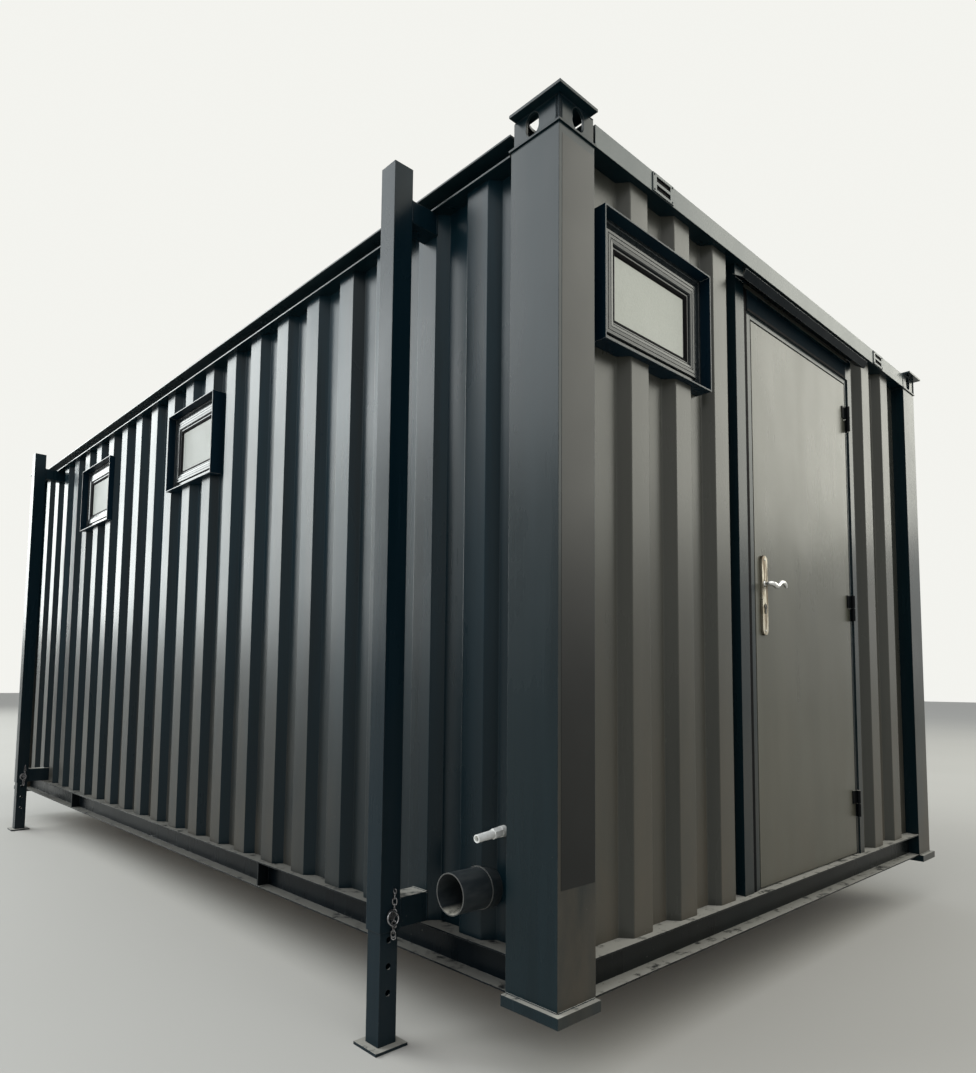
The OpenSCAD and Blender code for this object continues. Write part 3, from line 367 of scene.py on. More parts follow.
def pipe_plastic():
    """Dark pipe whose cut end is paler, with a painted highlight round its edges and silt lying in the
    bottom of its bore.
    """
    made = Shader("soil_pipe_plastic")
    scuffs = made.noise(26.0, 5.0, 0.7, stretch=(0.35, 1, 1))
    facing = made.axis(made.normal_facing, "X")
    up = made.axis(made.normal_facing, "Z")
    rounded = made.rounded(0.0012)
    body = made.mix(made.spread(scuffs, 0.42, 0.72), (0.014, 0.019, 0.022), (0.040, 0.046, 0.048))
    body = made.mix(made.spread(facing, -0.9, -0.98), body, (0.055, 0.055, 0.052))
    # Painted highlight: a light line round the pipe's edges
    body = made.mix(made.times(made.edges(rounded, 0.03, 0.2), 0.7), body, (0.26, 0.27, 0.26))
    pipe_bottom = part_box("soil_pipe")[0].z
    height = made.axis(made.coordinates, "Z")
    in_bore = made.spread(height, pipe_bottom + 0.018, pipe_bottom + 0.010)
    patchy = made.spread(made.noise(60.0, 4.0, 0.7), 0.3, 0.5)
    silt = made.times(made.spread(up, 0.6, 0.85), in_bore, patchy)
    body = made.mix(silt, body, (0.40, 0.38, 0.32))
    return made.finish(Base_Color=body, Roughness=made.spread(scuffs, 0.3, 0.7, 0.34, 0.55),
                       Normal=made.bump(made.noise(180.0, 3.0), 0.0001, 1.0, rounded))


def water_pipe_plastic():
    """White pipe with a grey nut near the wall."""
    made = Shader("water_pipe_plastic")
    scuffs = made.noise(80.0, 4.0, 0.6)
    along = made.axis(made.coordinates, "X")
    start, end = (place(distance, 0, 0).x for distance in NUT)
    half_blur = 0.0005
    at_nut = made.times(made.spread(along, start - half_blur, start + half_blur),
                        made.spread(along, end + half_blur, end - half_blur))
    body = made.mix(made.spread(scuffs, 0.4, 0.75, 0.0, 0.5), (0.88, 0.88, 0.85), (0.66, 0.65, 0.60))
    body = made.mix(at_nut, body, (0.80, 0.80, 0.77))
    return made.finish(Base_Color=body, Roughness=made.spread(scuffs, 0.3, 0.7, 0.28, 0.45),
                       Normal=made.bump(scuffs, 0.0001, 1.0, made.rounded(0.0012)))


def lining_board(name, first, second):
    """Painted wall board with faint joints every 1.2 m."""
    made = Shader(name)
    grain = made.noise(130.0, 4.0, 0.6)
    clouds = made.noise(1.6, 3.0, 0.5)
    body = made.mix(made.spread(clouds, 0.3, 0.7), first, second)
    joints = made.node("ShaderNodeTexBrick", {
        "Vector": made.coordinates, "Scale": 1.0, "Mortar Size": 0.002, "Mortar Smooth": 0.2,
        "Brick Width": 1.2, "Row Height": 3.0}, offset=0.0)
    body = made.mix(made.times(joints.outputs["Fac"], 0.35), body, (0.40, 0.39, 0.36))
    return made.finish(Base_Color=body, Roughness=made.spread(grain, 0.3, 0.7, 0.5, 0.65),
                       Normal=made.bump(grain, 0.0003))


def plywood():
    """Varnished boards with their grain along the cabin."""
    made = Shader("floor_plywood")
    rings = made.node("ShaderNodeTexWave", {
        "Vector": made.node("ShaderNodeMapping", {
            "Vector": made.coordinates, "Scale": (1.0, 0.12, 1.0)}).outputs["Vector"],
        "Scale": 7.0, "Distortion": 7.0, "Detail": 3.0, "Detail Scale": 1.2}, wave_type="BANDS")
    fibres = made.noise(90.0, 4.0, 0.65, stretch=(1, 0.05, 1))
    body = made.mix(rings.outputs["Fac"], (0.36, 0.24, 0.13), (0.52, 0.38, 0.23))
    body = made.mix(made.spread(fibres, 0.35, 0.75, 0.0, 0.6), body, (0.25, 0.16, 0.09))
    return made.finish(Base_Color=body, Roughness=made.spread(fibres, 0.3, 0.7, 0.45, 0.65),
                       Normal=made.bump(fibres, 0.0004))


def vinyl():
    """The plain dark strip on the near post."""
    made = Shader("plain_vinyl")
    fine = made.noise(220.0, 3.0, 0.6)
    soft = made.noise(3.0, 3.0, 0.5)
    body = made.mix(made.spread(soft, 0.3, 0.7), (0.0030, 0.0036, 0.0034), (0.0055, 0.0060, 0.0056))
    return made.finish(Base_Color=body, Roughness=made.spread(soft, 0.3, 0.7, 0.28, 0.38), IOR=1.34,
                       Normal=made.bump(fine, 0.0001, 0.8, made.bump(soft, 0.0008)))


def studio_floor():
    """Plain pale floor."""
    made = Shader("studio_floor")
    body = made.mix(made.noise(0.6, 2.0), (0.47, 0.455, 0.42), (0.50, 0.485, 0.45))
    return made.finish(Base_Color=body, Roughness=0.8)


paint = painted_steel("anthracite_paint")
# Painted light: the side walls' pale colour shows more the higher up
wall_paint = painted_steel("anthracite_wall_paint", colour=(0.0010, 0.0080, 0.0120),
                           pale=(0.005, 0.024, 0.036), roughness=0.28, ior=1.30, waves=0.0040,
                           wave_size=1.6, painted_light_upward=0.8, earth_and_reflection=0.9, side_earth_and_reflection=0.8, corner=0.002)
roof_paint = painted_steel("anthracite_roof_paint", roughness=0.36, waves=0.0040, wave_size=1.6, dust=0.12)
front_wall_paint = painted_steel("anthracite_front_wall_paint", colour=(0.041, 0.042, 0.035),
                                 pale=(0.056, 0.056, 0.047), roughness=0.28, ior=1.36, waves=0.0040,
                                 wave_size=1.6, earth_and_reflection=0.8, corner=0.002)
door_paint = painted_steel("anthracite_door_paint", colour=(0.070, 0.070, 0.053), pale=(0.086, 0.085, 0.065),
                           ior=1.36, waves=0.0085, wave_size=2.8, peel=0.0002, corner=0.002)
leg_paint = painted_steel("anthracite_leg_paint", colour=(0.001, 0.009, 0.014), pale=(0.004, 0.014, 0.021),
                          ior=1.24, waves=0.0006, wave_size=6.0, earth_and_reflection=0.15)
# Painted shade: the bottom rails are drawn darker and less reflective than the other paint, as they lie in
# shade
rail_shade_paint = painted_steel("anthracite_rail_painted_shade", colour=(0.002, 0.004, 0.005), pale=(0.006, 0.009, 0.010),
                           ior=1.18, earth_and_reflection=0.10, side_earth_and_reflection=0.06)
# Painted shade on the side rails too, whose edges are lightened partly by rubbing and partly as painted
# highlight
side_rail_shade_paint = painted_steel("anthracite_side_rail_painted_shade", colour=(0.001, 0.003, 0.005),
                                pale=(0.004, 0.007, 0.009), ior=1.18, earth_and_reflection=0.05, side_earth_and_reflection=0.3, dust=0.3,
                                corner=0.0016, edge_wear_and_highlight=(0.26, 0.27, 0.26), edge_wear_and_highlight_amount=0.8)
header_paint = painted_steel("weathered_header_paint", front_colour=(0.102, 0.120, 0.120))
# Painted highlight: an even pale line along every edge of the top rails
top_rail_highlight_paint = painted_steel("anthracite_top_rail_painted_highlight", corner=0.0016, edge_wear_and_highlight=(0.50, 0.52, 0.51),
                               edge_wear_and_highlight_amount=0.9, even_edge_highlight=True)
post_paint = painted_steel("anthracite_post_paint", earth_and_reflection=0.9, side_earth_and_reflection=0.05)
# Edges lightened partly by rubbing and partly as painted highlight
lifting_box_paint = painted_steel("anthracite_lifting_box_paint", corner=0.002, edge_wear_and_highlight=(0.34, 0.35, 0.34),
                                  edge_wear_and_highlight_amount=0.8)
# Painted shade and highlight: the gutter is drawn darker and less reflective than the other paint, with an
# even pale line along its edges
gutter_shade_and_highlight_paint = painted_steel("anthracite_gutter_painted_shade_and_highlight", colour=(0.001, 0.004, 0.007),
                             pale=(0.003, 0.007, 0.010), ior=1.14, corner=0.0016,
                             edge_wear_and_highlight=(0.50, 0.51, 0.50), edge_wear_and_highlight_amount=1.0, even_edge_highlight=True)
# Painted shade: a dull dark paint that stands in for the shade under the gutter
painted_shade_paint = painted_steel("painted_shade_teal_paint", colour=(0.001, 0.006, 0.010), pale=(0.002, 0.009, 0.014),
                             roughness=0.7, ior=1.10)
# Painted highlight: an even pale line along every edge of the window surrounds
surround_highlight_paint = painted_steel("anthracite_surround_painted_highlight", colour=(0.002, 0.011, 0.020),
                               pale=(0.004, 0.016, 0.026), ior=1.28, corner=0.0016,
                               edge_wear_and_highlight=(0.66, 0.66, 0.64), edge_wear_and_highlight_amount=1.0, even_edge_highlight=True)
hinge_paint = painted_steel("anthracite_hinge_paint", colour=(0.003, 0.004, 0.005),
                            pale=(0.007, 0.008, 0.009), roughness=0.30, ior=1.15, waves=0.0004,
                            wave_size=8.0, earth_and_reflection=0.1, corner=0.0012)
board = lining_board("white_board", (0.70, 0.70, 0.66), (0.75, 0.75, 0.72))
foil = window_profile_material()
rubber_and_shade = rubber()
chain_metal = dark_steel()
screw_metal = bright_metal("screw_metal", (0.50, 0.50, 0.49), 0.22)
lever_metal = bright_metal()
key_metal = bright_metal("cylinder_metal", (0.10, 0.095, 0.085), 0.3)

FINISHES = {
    "front_left_post": post_paint, "front_right_post": post_paint,
    "rear_left_post": post_paint, "rear_right_post": post_paint,
    "front_left_lifting_box": lifting_box_paint, "front_right_lifting_box": lifting_box_paint,
    "rear_left_lifting_box": lifting_box_paint, "rear_right_lifting_box": lifting_box_paint,
    "front_wall_sheet": front_wall_paint, "rear_wall_sheet": wall_paint,
    "left_wall_sheet": wall_paint, "right_wall_sheet": wall_paint, "roof_sheet": roof_paint,
    "front_bottom_rail": rail_shade_paint, "rear_bottom_rail": rail_shade_paint,
    "left_bottom_rail": side_rail_shade_paint, "right_bottom_rail": side_rail_shade_paint,
    "left_top_rail": top_rail_highlight_paint, "right_top_rail": top_rail_highlight_paint,
    "front_header": header_paint, "rear_header": header_paint, "header_vents": header_paint,
    "rain_gutter": gutter_shade_and_highlight_paint, "window_surrounds": surround_highlight_paint,
    "door_leaf": door_paint, "door_stops": door_paint,
    "hinge_frame_halves": hinge_paint, "hinge_door_halves": hinge_paint,
    "front_wall_lining": board, "rear_wall_lining": board, "left_wall_lining": board,
    "right_wall_lining": board, "ceiling_panel": board, "floor_deck": plywood(),
    "window_frames": foil, "window_glass": obscured_glass(),
    "lock_plates": satin_plate(), "lock_cylinder": key_metal, "door_lever": lever_metal,
    "jackleg_sleeves": leg_paint, "jackleg_arms": leg_paint, "jackleg_inner_legs": leg_paint,
    "jackleg_foot_plates": leg_paint, "jackleg_pins": chain_metal,
    "soil_pipe": pipe_plastic(), "water_pipe": water_pipe_plastic(),
}

for name, cad in nodes.items():
    cad.data.materials.clear()
    cad.data.materials.append(FINISHES.get(name, paint))


# Making meshes


def add_piece(name, points, faces, material, body="cabin", smooth=False):
    """A new piece from points in the shared frame."""
    mesh = bpy.data.meshes.new(name)
    mesh.from_pydata([tuple(p) for p in points], [], faces)
    mesh.validate()
    mesh.update()
    made = bpy.data.objects.new(name, mesh)
    bpy.context.scene.collection.objects.link(made)
    mesh.materials.append(material)
    if smooth:
        mesh.polygons.foreach_set("use_smooth", [True] * len(mesh.polygons))
    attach(made, body)
    return made


class Shape:
    """Points and faces of one piece, gathered from many parts."""

    def __init__(self):
        self.points = []
        self.faces = []

    def add(self, points, faces):
        start = len(self.points)
        self.points += points
        self.faces += [tuple(start + i for i in face) for face in faces]

    def rings(self, rings, closed_path=False):
        """Joins rings of points that all have the same number of points, and closes the ends."""
        sides = len(rings[0])
        points = [p for ring in rings for p in ring]
        steps = len(rings) if closed_path else len(rings) - 1
        faces = []
        for r in range(steps):
            a, b = r * sides, ((r + 1) % len(rings)) * sides
            for s in range(sides):
                t = (s + 1) % sides
                faces.append((a + s, a + t, b + t, b + s))
        if not closed_path:
            faces.append(tuple(reversed(range(sides))))
            faces.append(tuple(range(steps * sides, steps * sides + sides)))
        self.add(points, faces)

    def piece(self, name, material, slot, body="cabin", smooth=False):
        return add_piece(name, self.points, self.faces, material, body, smooth)


def across(direction):
    """Two directions at right angles to a third one."""
    helper = Vector((0, 0, 1)) if abs(direction.z) < 0.9 else Vector((1, 0, 0))
    first = direction.cross(helper).normalized()
    return first, direction.cross(first).normalized()


def round_ring(centre, first, second, radius, sides):
    """Points of a circle whose plane has the directions first and second."""
    return [centre + first * math.cos(a) * radius + second * math.sin(a) * radius
            for a in (2 * math.pi * i / sides for i in range(sides))]


def tube(shape, path, radius, sides=8, closed=False):
    """A round bar along a path of points; radius is a number or a function of the point's index."""
    count = len(path)
    rings = []
    first = None
    for i, point in enumerate(path):
        before = path[i - 1] if (closed or i > 0) else point
        after = path[(i + 1) % count] if (closed or i < count - 1) else point
        direction = (after - before).normalized()
        if first is None:
            first = across(direction)[0]
        first = (first - direction * first.dot(direction)).normalized()
        second = direction.cross(first)
        size = radius(i) if callable(radius) else radius
        rings.append(round_ring(point, first, second, size, sides))
    shape.rings(rings, closed_path=closed)


BEAD_PITCH = 2.2


def weld(shape, start, end, size, seed):
    """A ragged bead of weld between two places, in millimetres."""
    a, b = place(*start), place(*end)
    count = max(6, int((b - a).length / (BEAD_PITCH * MM)))
    wander = [noise.noise(Vector((i * 0.55, seed, 0.3))) for i in range(count + 1)]
    direction = (b - a).normalized()
    first, second = across(direction)
    path = [a.lerp(b, i / count) + first * wander[i] * 0.9 * MM + second * wander[-i] * 0.6 * MM
            for i in range(count + 1)]
    tube(shape, path, lambda i: (size + 0.9 * math.sin(i * 2.1 + seed) + 0.8 * wander[i]) * MM * 0.8, 6)


def both_sides(x):
    """A distance from the left side, and its mirror image on the right side."""
    return (x, CABIN_WIDTH - x)


# Bends of the wall sheets


BEND_OFFSET = 4.0
SHORTEST_FOLD = 20
FOLD_ANGLES = (0.6, 1.2)  # radians between a flat and a slope
BENT_SHEETS = ("front_wall_sheet", "rear_wall_sheet", "left_wall_sheet", "right_wall_sheet")


def is_fold(edge):
    """True for an upright edge between a flat and a slope of a folded sheet."""
    rise = abs(edge.verts[0].co.z - edge.verts[1].co.z)
    upright = rise > 0.999 * edge.calc_length() and rise > SHORTEST_FOLD * MM
    low, high = FOLD_ANGLES
    return upright and len(edge.link_faces) == 2 and low < edge.calc_face_angle(0.0) < high


def add_bent_sheet(name):
    """A wall sheet whose folds are rounded as a press leaves them."""
    shape = bmesh.new()
    shape.from_mesh(nodes[name].data)
    bmesh.ops.remove_doubles(shape, verts=shape.verts, dist=0.01 * MM)
    bmesh.ops.dissolve_limit(shape, angle_limit=math.radians(0.5), verts=shape.verts, edges=shape.edges)
    folds = [edge for edge in shape.edges if is_fold(edge)]
    bmesh.ops.bevel(shape, geom=folds, offset=BEND_OFFSET * MM, offset_type="OFFSET", segments=3,
                    profile=0.5, affect="EDGES", clamp_overlap=True)
    mesh = bpy.data.meshes.new(name + "_bent")
    shape.to_mesh(mesh)
    shape.free()
    mesh.materials.append(FINISHES[name])
    mesh.polygons.foreach_set("use_smooth", [True] * len(mesh.polygons))
    mesh.set_sharp_from_angle(angle=math.radians(28))
    made = bpy.data.objects.new(name + "_bent", mesh)
    bpy.context.scene.collection.objects.link(made)
    even = made.modifiers.new("even_shading", "WEIGHTED_NORMAL")
    even.keep_sharp = True
    even.weight = 100
    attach(made, "cabin")
    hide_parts(name)


# Welds


def add_arm_welds(shape, at, start, wall_depths, arm, seed):
    """Beads where an arm of a jackleg meets its sleeve and the side sheet."""
    low, high = arm
    sides = (start, start + SLEEVE_WIDTH)
    at_sleeve = 1 - SLEEVE_GAP
    for y, depth in zip(sides, wall_depths):
        for out, size in ((depth - 1, 3.4), (at_sleeve, 3.0)):
            weld(shape, at(out, y, low + 2), at(out, y, high - 2), size, seed)
    weld(shape, *(at(at_sleeve, y, high) for y in sides), 3.0, seed + 3)
    if arm == LOWER_ARM:
        weld(shape, *(at(OUTER_FLAT_DEPTH - 1, y, high) for y in sides), 3.6, seed + 5)


def add_corner_welds(shape, x, y, seed):
    """Beads up a lifting box's corner, round its cap and top plate, and round the base pad."""
    inward_x = 1 if x == 0 else -1
    inward_y = 1 if y == 0 else -1

    def at(front, side, z):
        return (x + front * inward_x, y + side * inward_y, z)

    weld(shape, at(0, 0, CAP_TOP + 2), at(0, 0, BOX_TOP - 2), 3.6, seed)
    for step in (5.5, 11):
        weld(shape, at(step, 0, CAP_TOP + 3), at(step, 0, BOX_TOP - 3), 2.6, seed + step)
        weld(shape, at(0, step, CAP_TOP + 3), at(0, step, BOX_TOP - 3), 2.6, seed - step)
    for z, first, front, side, size, turn in (
            (CAP_TOP + 1, 3, BOX_FRONT - 3, BOX_SIDE - 4, 2.8, 2),
            (BOX_TOP - 1, 3, BOX_FRONT - 3, BOX_SIDE - 4, 2.4, 6),
            (1 - BOTTOM_RAIL_HEIGHT, 2, POST_FRONT - 2, POST_SIDE - 2, 2.6, 9)):
        weld(shape, at(first, 0, z), at(front, 0, z), size, seed + turn)
        weld(shape, at(0, first, z), at(0, side, z), size, seed + turn + 2)


def add_welds():
    """The beads on all four jacklegs and all four corners."""
    shape = Shape()
    # Depths of the side sheet at the near and the far side of each sleeve
    wall_depths = ((OUTER_FLAT_DEPTH, OUTER_FLAT_DEPTH), (57, 24))
    seed = 0
    for mirrored in (False, True):
        def at(x, y, z):
            return (CABIN_WIDTH - x if mirrored else x, y, z)
        for start, depths in zip(SLEEVE_STARTS, wall_depths):
            for arm in (LOWER_ARM, UPPER_ARM):
                seed += 1
                add_arm_welds(shape, at, start, depths, arm, seed)
    for x in both_sides(0):
        for y in (0, CABIN_LENGTH):
            seed += 1
            add_corner_welds(shape, x, y, seed)
    shape.piece("weld_beads", leg_paint, "painted_steel", smooth=True)


# Windows


# Outlines of the mouldings: distance in from the surround's outer edge, and depth from the front
FRAME_PROFILE = (
    (4.3, 80), (4.3, 37.2), (5.5, 36), (13, 36), (14, 35), (16, 35), (17, 36), (36.5, 36), (38.3, 37.5),
    (38.3, 44), (40.3, 44), (40.3, 32), (42, 30), (50, 30), (51, 31.6), (52.6, 31.6), (53.6, 30),
    (62, 30), (63, 31.4), (64.6, 31.4), (65.6, 30.2), (74, 31.5), (77, 34), (78.3, 40),
    (79.3, 40), (79.3, 38.6), (81, 37.4), (86, 38.2), (91.3, 41.5), (91.3, 80))
SEAL_PROFILE = (
    (84.5, 39.5), (86.0, 36.8), (91.4, 39.4), (95.6, 41.8), (97.8, 44.5), (97.8, 44.95), (84.5, 44.95))


def window_corner(left, width, inset, depth, corner, on_side):
    """A corner of a rectangle that lies an inset inside a window's surround."""
    right = corner in (1, 2)
    upper = corner in (2, 3)
    along = left + width - inset if right else left + inset
    high = WINDOW_BOTTOM + WINDOW_HEIGHT - inset if upper else WINDOW_BOTTOM + inset
    return place(depth, along, high) if on_side else place(along, depth, high)


def sweep_window(shape, left, width, profile, on_side):
    """A moulding with mitred corners round a window."""
    rings = [[window_corner(left, width, inset, depth, corner, on_side) for inset, depth in profile]
             for corner in range(4)]
    if not on_side:
        rings = [list(reversed(ring)) for ring in rings]
    shape.rings(rings, closed_path=True)


def add_windows():
    """Moulded profiles in place of the plain window frames, and the seals round the glass."""
    mouldings, seals = Shape(), Shape()
    for left, width, on_side in ((*FRONT_WINDOW, False), *((*w, True) for w in SIDE_WINDOWS)):
        sweep_window(mouldings, left, width, FRAME_PROFILE, on_side)
        sweep_window(seals, left, width, SEAL_PROFILE, on_side)
    made = mouldings.piece("window_mouldings", foil, "frame_paint")
    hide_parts("window_frames")
    seals.piece("window_seals", rubber_and_shade, "frame_paint")


# Pins' rings and chains


# Each chain's length, and its links' length, width and wire radius, in millimetres
CHAIN_LENGTH = 155
LINK_LENGTH = 19
LINK_WIDTH = 12
LINK_WIRE = 2.1
RING_RADIUS = 18
RING_WIRE = 3.0
EYE_RADIUS = 6.5
EYE_WIRE = 2.0
RING_SIDES = 28


def add_ring(shape, centre, first, second, radius, wire):
    """A ring of round wire whose plane has the directions first and second."""
    middle_line = round_ring(centre, first, second, radius * MM, RING_SIDES)
    tube(shape, middle_line, wire * MM, 8, closed=True)


def link_path(centre, along, wide, length, width, count=7):
    """The middle line of one chain link: two half rounds joined by straights."""
    straight = (length - width) / 2
    radius = width / 2
    path = []
    for end in (1, -1):
        for i in range(count + 1):
            angle = math.pi * i / count
            path.append(centre + along * end * (straight + math.sin(angle) * radius)
                        + wide * end * math.cos(angle) * radius)
    return path


def sagging_path(start, end, sag, steps=60):
    """A parabola between two points whose middle hangs lower by sag."""
    shares = [i / steps for i in range(steps + 1)]
    return [start.lerp(end, share) - Vector((0, 0, 4 * sag * share * (1 - share))) for share in shares]


def distances_along(path):
    """The distance of each point of a path from its start, along the path."""
    distances = [0.0]
    for before, after in zip(path, path[1:]):
        distances.append(distances[-1] + (after - before).length)
    return distances


def hanging_points(start, end, length, count):
    """Places and directions along a slack chain of the given length between two points."""
    low, high = 0.0, 0.2
    for _ in range(30):
        sag = (low + high) / 2
        too_short = distances_along(sagging_path(start, end, sag))[-1] < length
        low, high = (sag, high) if too_short else (low, sag)
    path = sagging_path(start, end, sag)
    distances = distances_along(path)
    picked = []
    for k in range(count):
        target = distances[-1] * (k + 0.5) / count
        i = max(j for j, distance in enumerate(distances[:-1]) if distance <= target)
        step = path[i + 1] - path[i]
        share = (target - distances[i]) / (distances[i + 1] - distances[i])
        picked.append((path[i] + step * share, step.normalized()))
    return picked


def add_chain(shape, start, end):
    """A slack chain whose links stand at right angles to their neighbours."""
    count = max(3, round(CHAIN_LENGTH / (LINK_LENGTH - 2 * LINK_WIRE)))
    for k, (point, direction) in enumerate(hanging_points(start, end, CHAIN_LENGTH * MM, count)):
        first, second = across(direction)
        turn = math.pi / 4 + (math.pi / 2 if k % 2 else 0)
        wide = first * math.cos(turn) + second * math.sin(turn)
        path = link_path(point, direction, wide, LINK_LENGTH * MM, LINK_WIDTH * MM)
        tube(shape, path, LINK_WIRE * MM, 6, closed=True)


def add_pin_chains():
    """On each jackleg: a split ring through the pin's head and a chain up to an eye on the sleeve."""
    shape = Shape()
    up, along = Vector((0, 0, 1)), Vector((0, 1, 0))
    tilted = (up + along * 0.25).normalized()
    for side in (-1, 1):
        outward = Vector((side, 0, 0))
        for start in SLEEVE_STARTS:
            def at(out, y, z):
                x = -SLEEVE_GAP - SLEEVE_WIDTH / 2 + out
                return place(x if side < 0 else CABIN_WIDTH - x, y, z)
            pin_end = start - PIN_REACH
            add_ring(shape, at(0, pin_end - 3, PIN_HEIGHT - 9), outward, tilted, RING_RADIUS, RING_WIRE)
            eye = at(12, start - 5, PIN_HEIGHT + 62)
            add_ring(shape, eye, up, along, EYE_RADIUS, EYE_WIRE)
            add_chain(shape, eye - up * 5 * MM, at(2, pin_end - 1, PIN_HEIGHT - 29))
    shape.piece("pin_chains", chain_metal, "painted_steel", smooth=True)


# Screws and small fittings


def dome(shape, centre, out, radius, height, sides=16):
    """A low round head whose flat side lies at centre."""
    first, second = across(out)
    rings = []
    for share in (0.0, 0.25, 0.5, 0.75, 0.95):
        angle = share * math.pi / 2
        rings.append(round_ring(centre + out * math.sin(angle) * height, first, second,
                                math.cos(angle) * radius, sides))
    shape.rings(rings)


FRONT, BACK = Vector((0, -1, 0)), Vector((0, 1, 0))
HEAD_END = JAMB_GROOVE + 900


def add_vent_screws():
    """Four painted heads on each of the four header vents."""
    shape = Shape()
    face = VENT_FACE + 0.2
    for y, out in ((-face, FRONT), (CABIN_LENGTH + face, BACK)):
        for middle in both_sides(VENT_MIDDLE):
            for dx in (-48, 48):
                for z in (CAP_TOP + 8, CAP_TOP + 56):
                    dome(shape, place(middle + dx, y, z), out, 3.4 * MM, 2.0 * MM)
    shape.piece("vent_screws", paint, "painted_steel", smooth=True)


def add_lock_plate_screws():
    """A screw near each end of the lock plates, on both sides of the door."""
    low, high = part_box("lock_plates")
    shape = Shape()
    middle = (low.x + high.x) / 2
    for z in (low.z + 16 * MM, high.z - 16 * MM):
        for y, out in ((low.y, FRONT), (high.y, BACK)):
            dome(shape, Vector((middle, y, z)), out, 4.2 * MM, 1.6 * MM)
    shape.piece("lock_plate_screws", screw_metal, "satin_metal", body="door", smooth=True)


def add_box(shape, low, high):
    """A plain box between two corners, given in millimetres."""
    (x0, y0, z0), (x1, y1, z1) = low, high
    plan = ((x0, y0), (x1, y0), (x1, y1), (x0, y1))
    shape.rings([[place(x, y, z) for x, y in plan] for z in (z0, z1)])


def add_frame_rubber_and_shade():
    """Black rubber in the left jamb's groove and along the step of the frame's head, also painted shade of
    the groove and of the step.
    """
    shape = Shape()
    groove_end = JAMB_GROOVE + GROOVE_WIDTH
    # Black strip that also paints the shade deep in the groove
    add_box(shape, (JAMB_GROOVE + 0.4, FRAME_FACE + 2.5, 1),
            (groove_end - 0.4, FRAME_FACE + 19.5, FRAME_TOP - 1))
    # Black strip that also paints the shade under the head's step
    add_box(shape, (groove_end, FRAME_FACE - 1.2, STEP_HEIGHT),
            (HEAD_END, FRAME_FACE - 0.1, STEP_HEIGHT + 9))
    shape.piece("frame_rubber_and_shade", rubber_and_shade, "painted_steel")


def add_head_shade_plate():
    """A thin dark plate on the face of the frame's head, over the rubber: painted shade under the gutter."""
    shape = Shape()
    add_box(shape, (JAMB_GROOVE + GROOVE_WIDTH + 0.3, FRAME_FACE - 0.8, STEP_HEIGHT + 9.2),
            (HEAD_END, FRAME_FACE - 0.1, FRAME_TOP - 14))
    shape.piece("frame_head_shade_plate", painted_shade_paint, "painted_steel")


def add_vent_screens():
    """Black insect screens behind the slots of the four vents."""
    shape = Shape()
    for low, high in ((0.6, 1.4), (CABIN_LENGTH - 1.4, CABIN_LENGTH - 0.6)):
        for middle in both_sides(VENT_MIDDLE):
            for z in VENT_SLOTS:
                add_box(shape, (middle - 39, low, z - 10), (middle + 39, high, z + 10))
    shape.piece("vent_screens", rubber_and_shade, "painted_steel")


def add_bare_strip():
    """A thin plain strip on the near post, where the photo has a sign."""
    shape = Shape()
    add_box(shape, (12, -0.6, 190), (145, -0.05, 2150))
    shape.piece("bare_sign_strip", vinyl(), "painted_steel")


# The lever


# Its middle line: distance along the door, out of the door and up from its spindle
LEVER_LINE = ((0, 4, 0), (0, 16, 0), (2, 27, 0), (8, 35, -2), (17, 38, -6), (27, 38, -9), (40, 38, -5),
              (54, 38, 4), (68, 38, 8), (82, 38, 8), (95, 38, 3), (102, 38, -6))
LEVER_RADII = (8.5, 8.5, 8.6, 9.0, 9.2, 9.2, 9.0, 8.8, 8.6, 8.2, 7.2, 4.6)
# Its boss: distance out of the door, and radius there
BOSS = ((1.0, 10.5), (4.0, 10.5), (10.0, 10.0), (11.5, 8.0))
CURVE_STEPS = 6


def curve_through(points, steps):
    """A smooth line through points, as short straight lines."""
    path = []
    last = len(points) - 1
    for i in range(last):
        a, b, c, d = points[max(i - 1, 0)], points[i], points[i + 1], points[min(i + 2, last)]
        for k in range(steps):
            t = k / steps
            path.append(0.5 * (2 * b + (c - a) * t + (2 * a - 5 * b + 4 * c - d) * t * t
                               + (3 * b - a - 3 * c + d) * t ** 3))
    path.append(points[last])
    return path


def lever_radius(i):
    """The lever's radius at a point of its smooth line."""
    whole, share = divmod(i, CURVE_STEPS)
    following = min(whole + 1, len(LEVER_RADII) - 1)
    share /= CURVE_STEPS
    return (LEVER_RADII[whole] * (1 - share) + LEVER_RADII[following] * share) * MM


def add_lever():
    """The polished waved levers on both sides of the door, with their bosses."""
    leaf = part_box("door_leaf")
    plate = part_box("lock_plates")
    spindle = Vector(((plate[0].x + plate[1].x) / 2, 0, plate[0].z + LEVER_HEIGHT * MM))
    shape = Shape()
    for face, out in ((leaf[0].y, -1), (leaf[1].y, 1)):
        start = Vector((spindle.x, face, spindle.z))
        points = [start + Vector((along, out * away, up)) * MM for along, away, up in LEVER_LINE]
        path = curve_through(points, CURVE_STEPS)
        tube(shape, path, lever_radius, 14)
        dome(shape, path[-1], (path[-1] - path[-2]).normalized(), LEVER_RADII[-1] * MM, 3.5 * MM)
        boss = [start + Vector((0, out * away * MM, 0)) for away, _ in BOSS]
        tube(shape, boss, lambda i: BOSS[i][1] * MM, 20)
    made = shape.piece("polished_lever", lever_metal, "satin_metal", body="lever", smooth=True)
    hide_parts("door_lever")


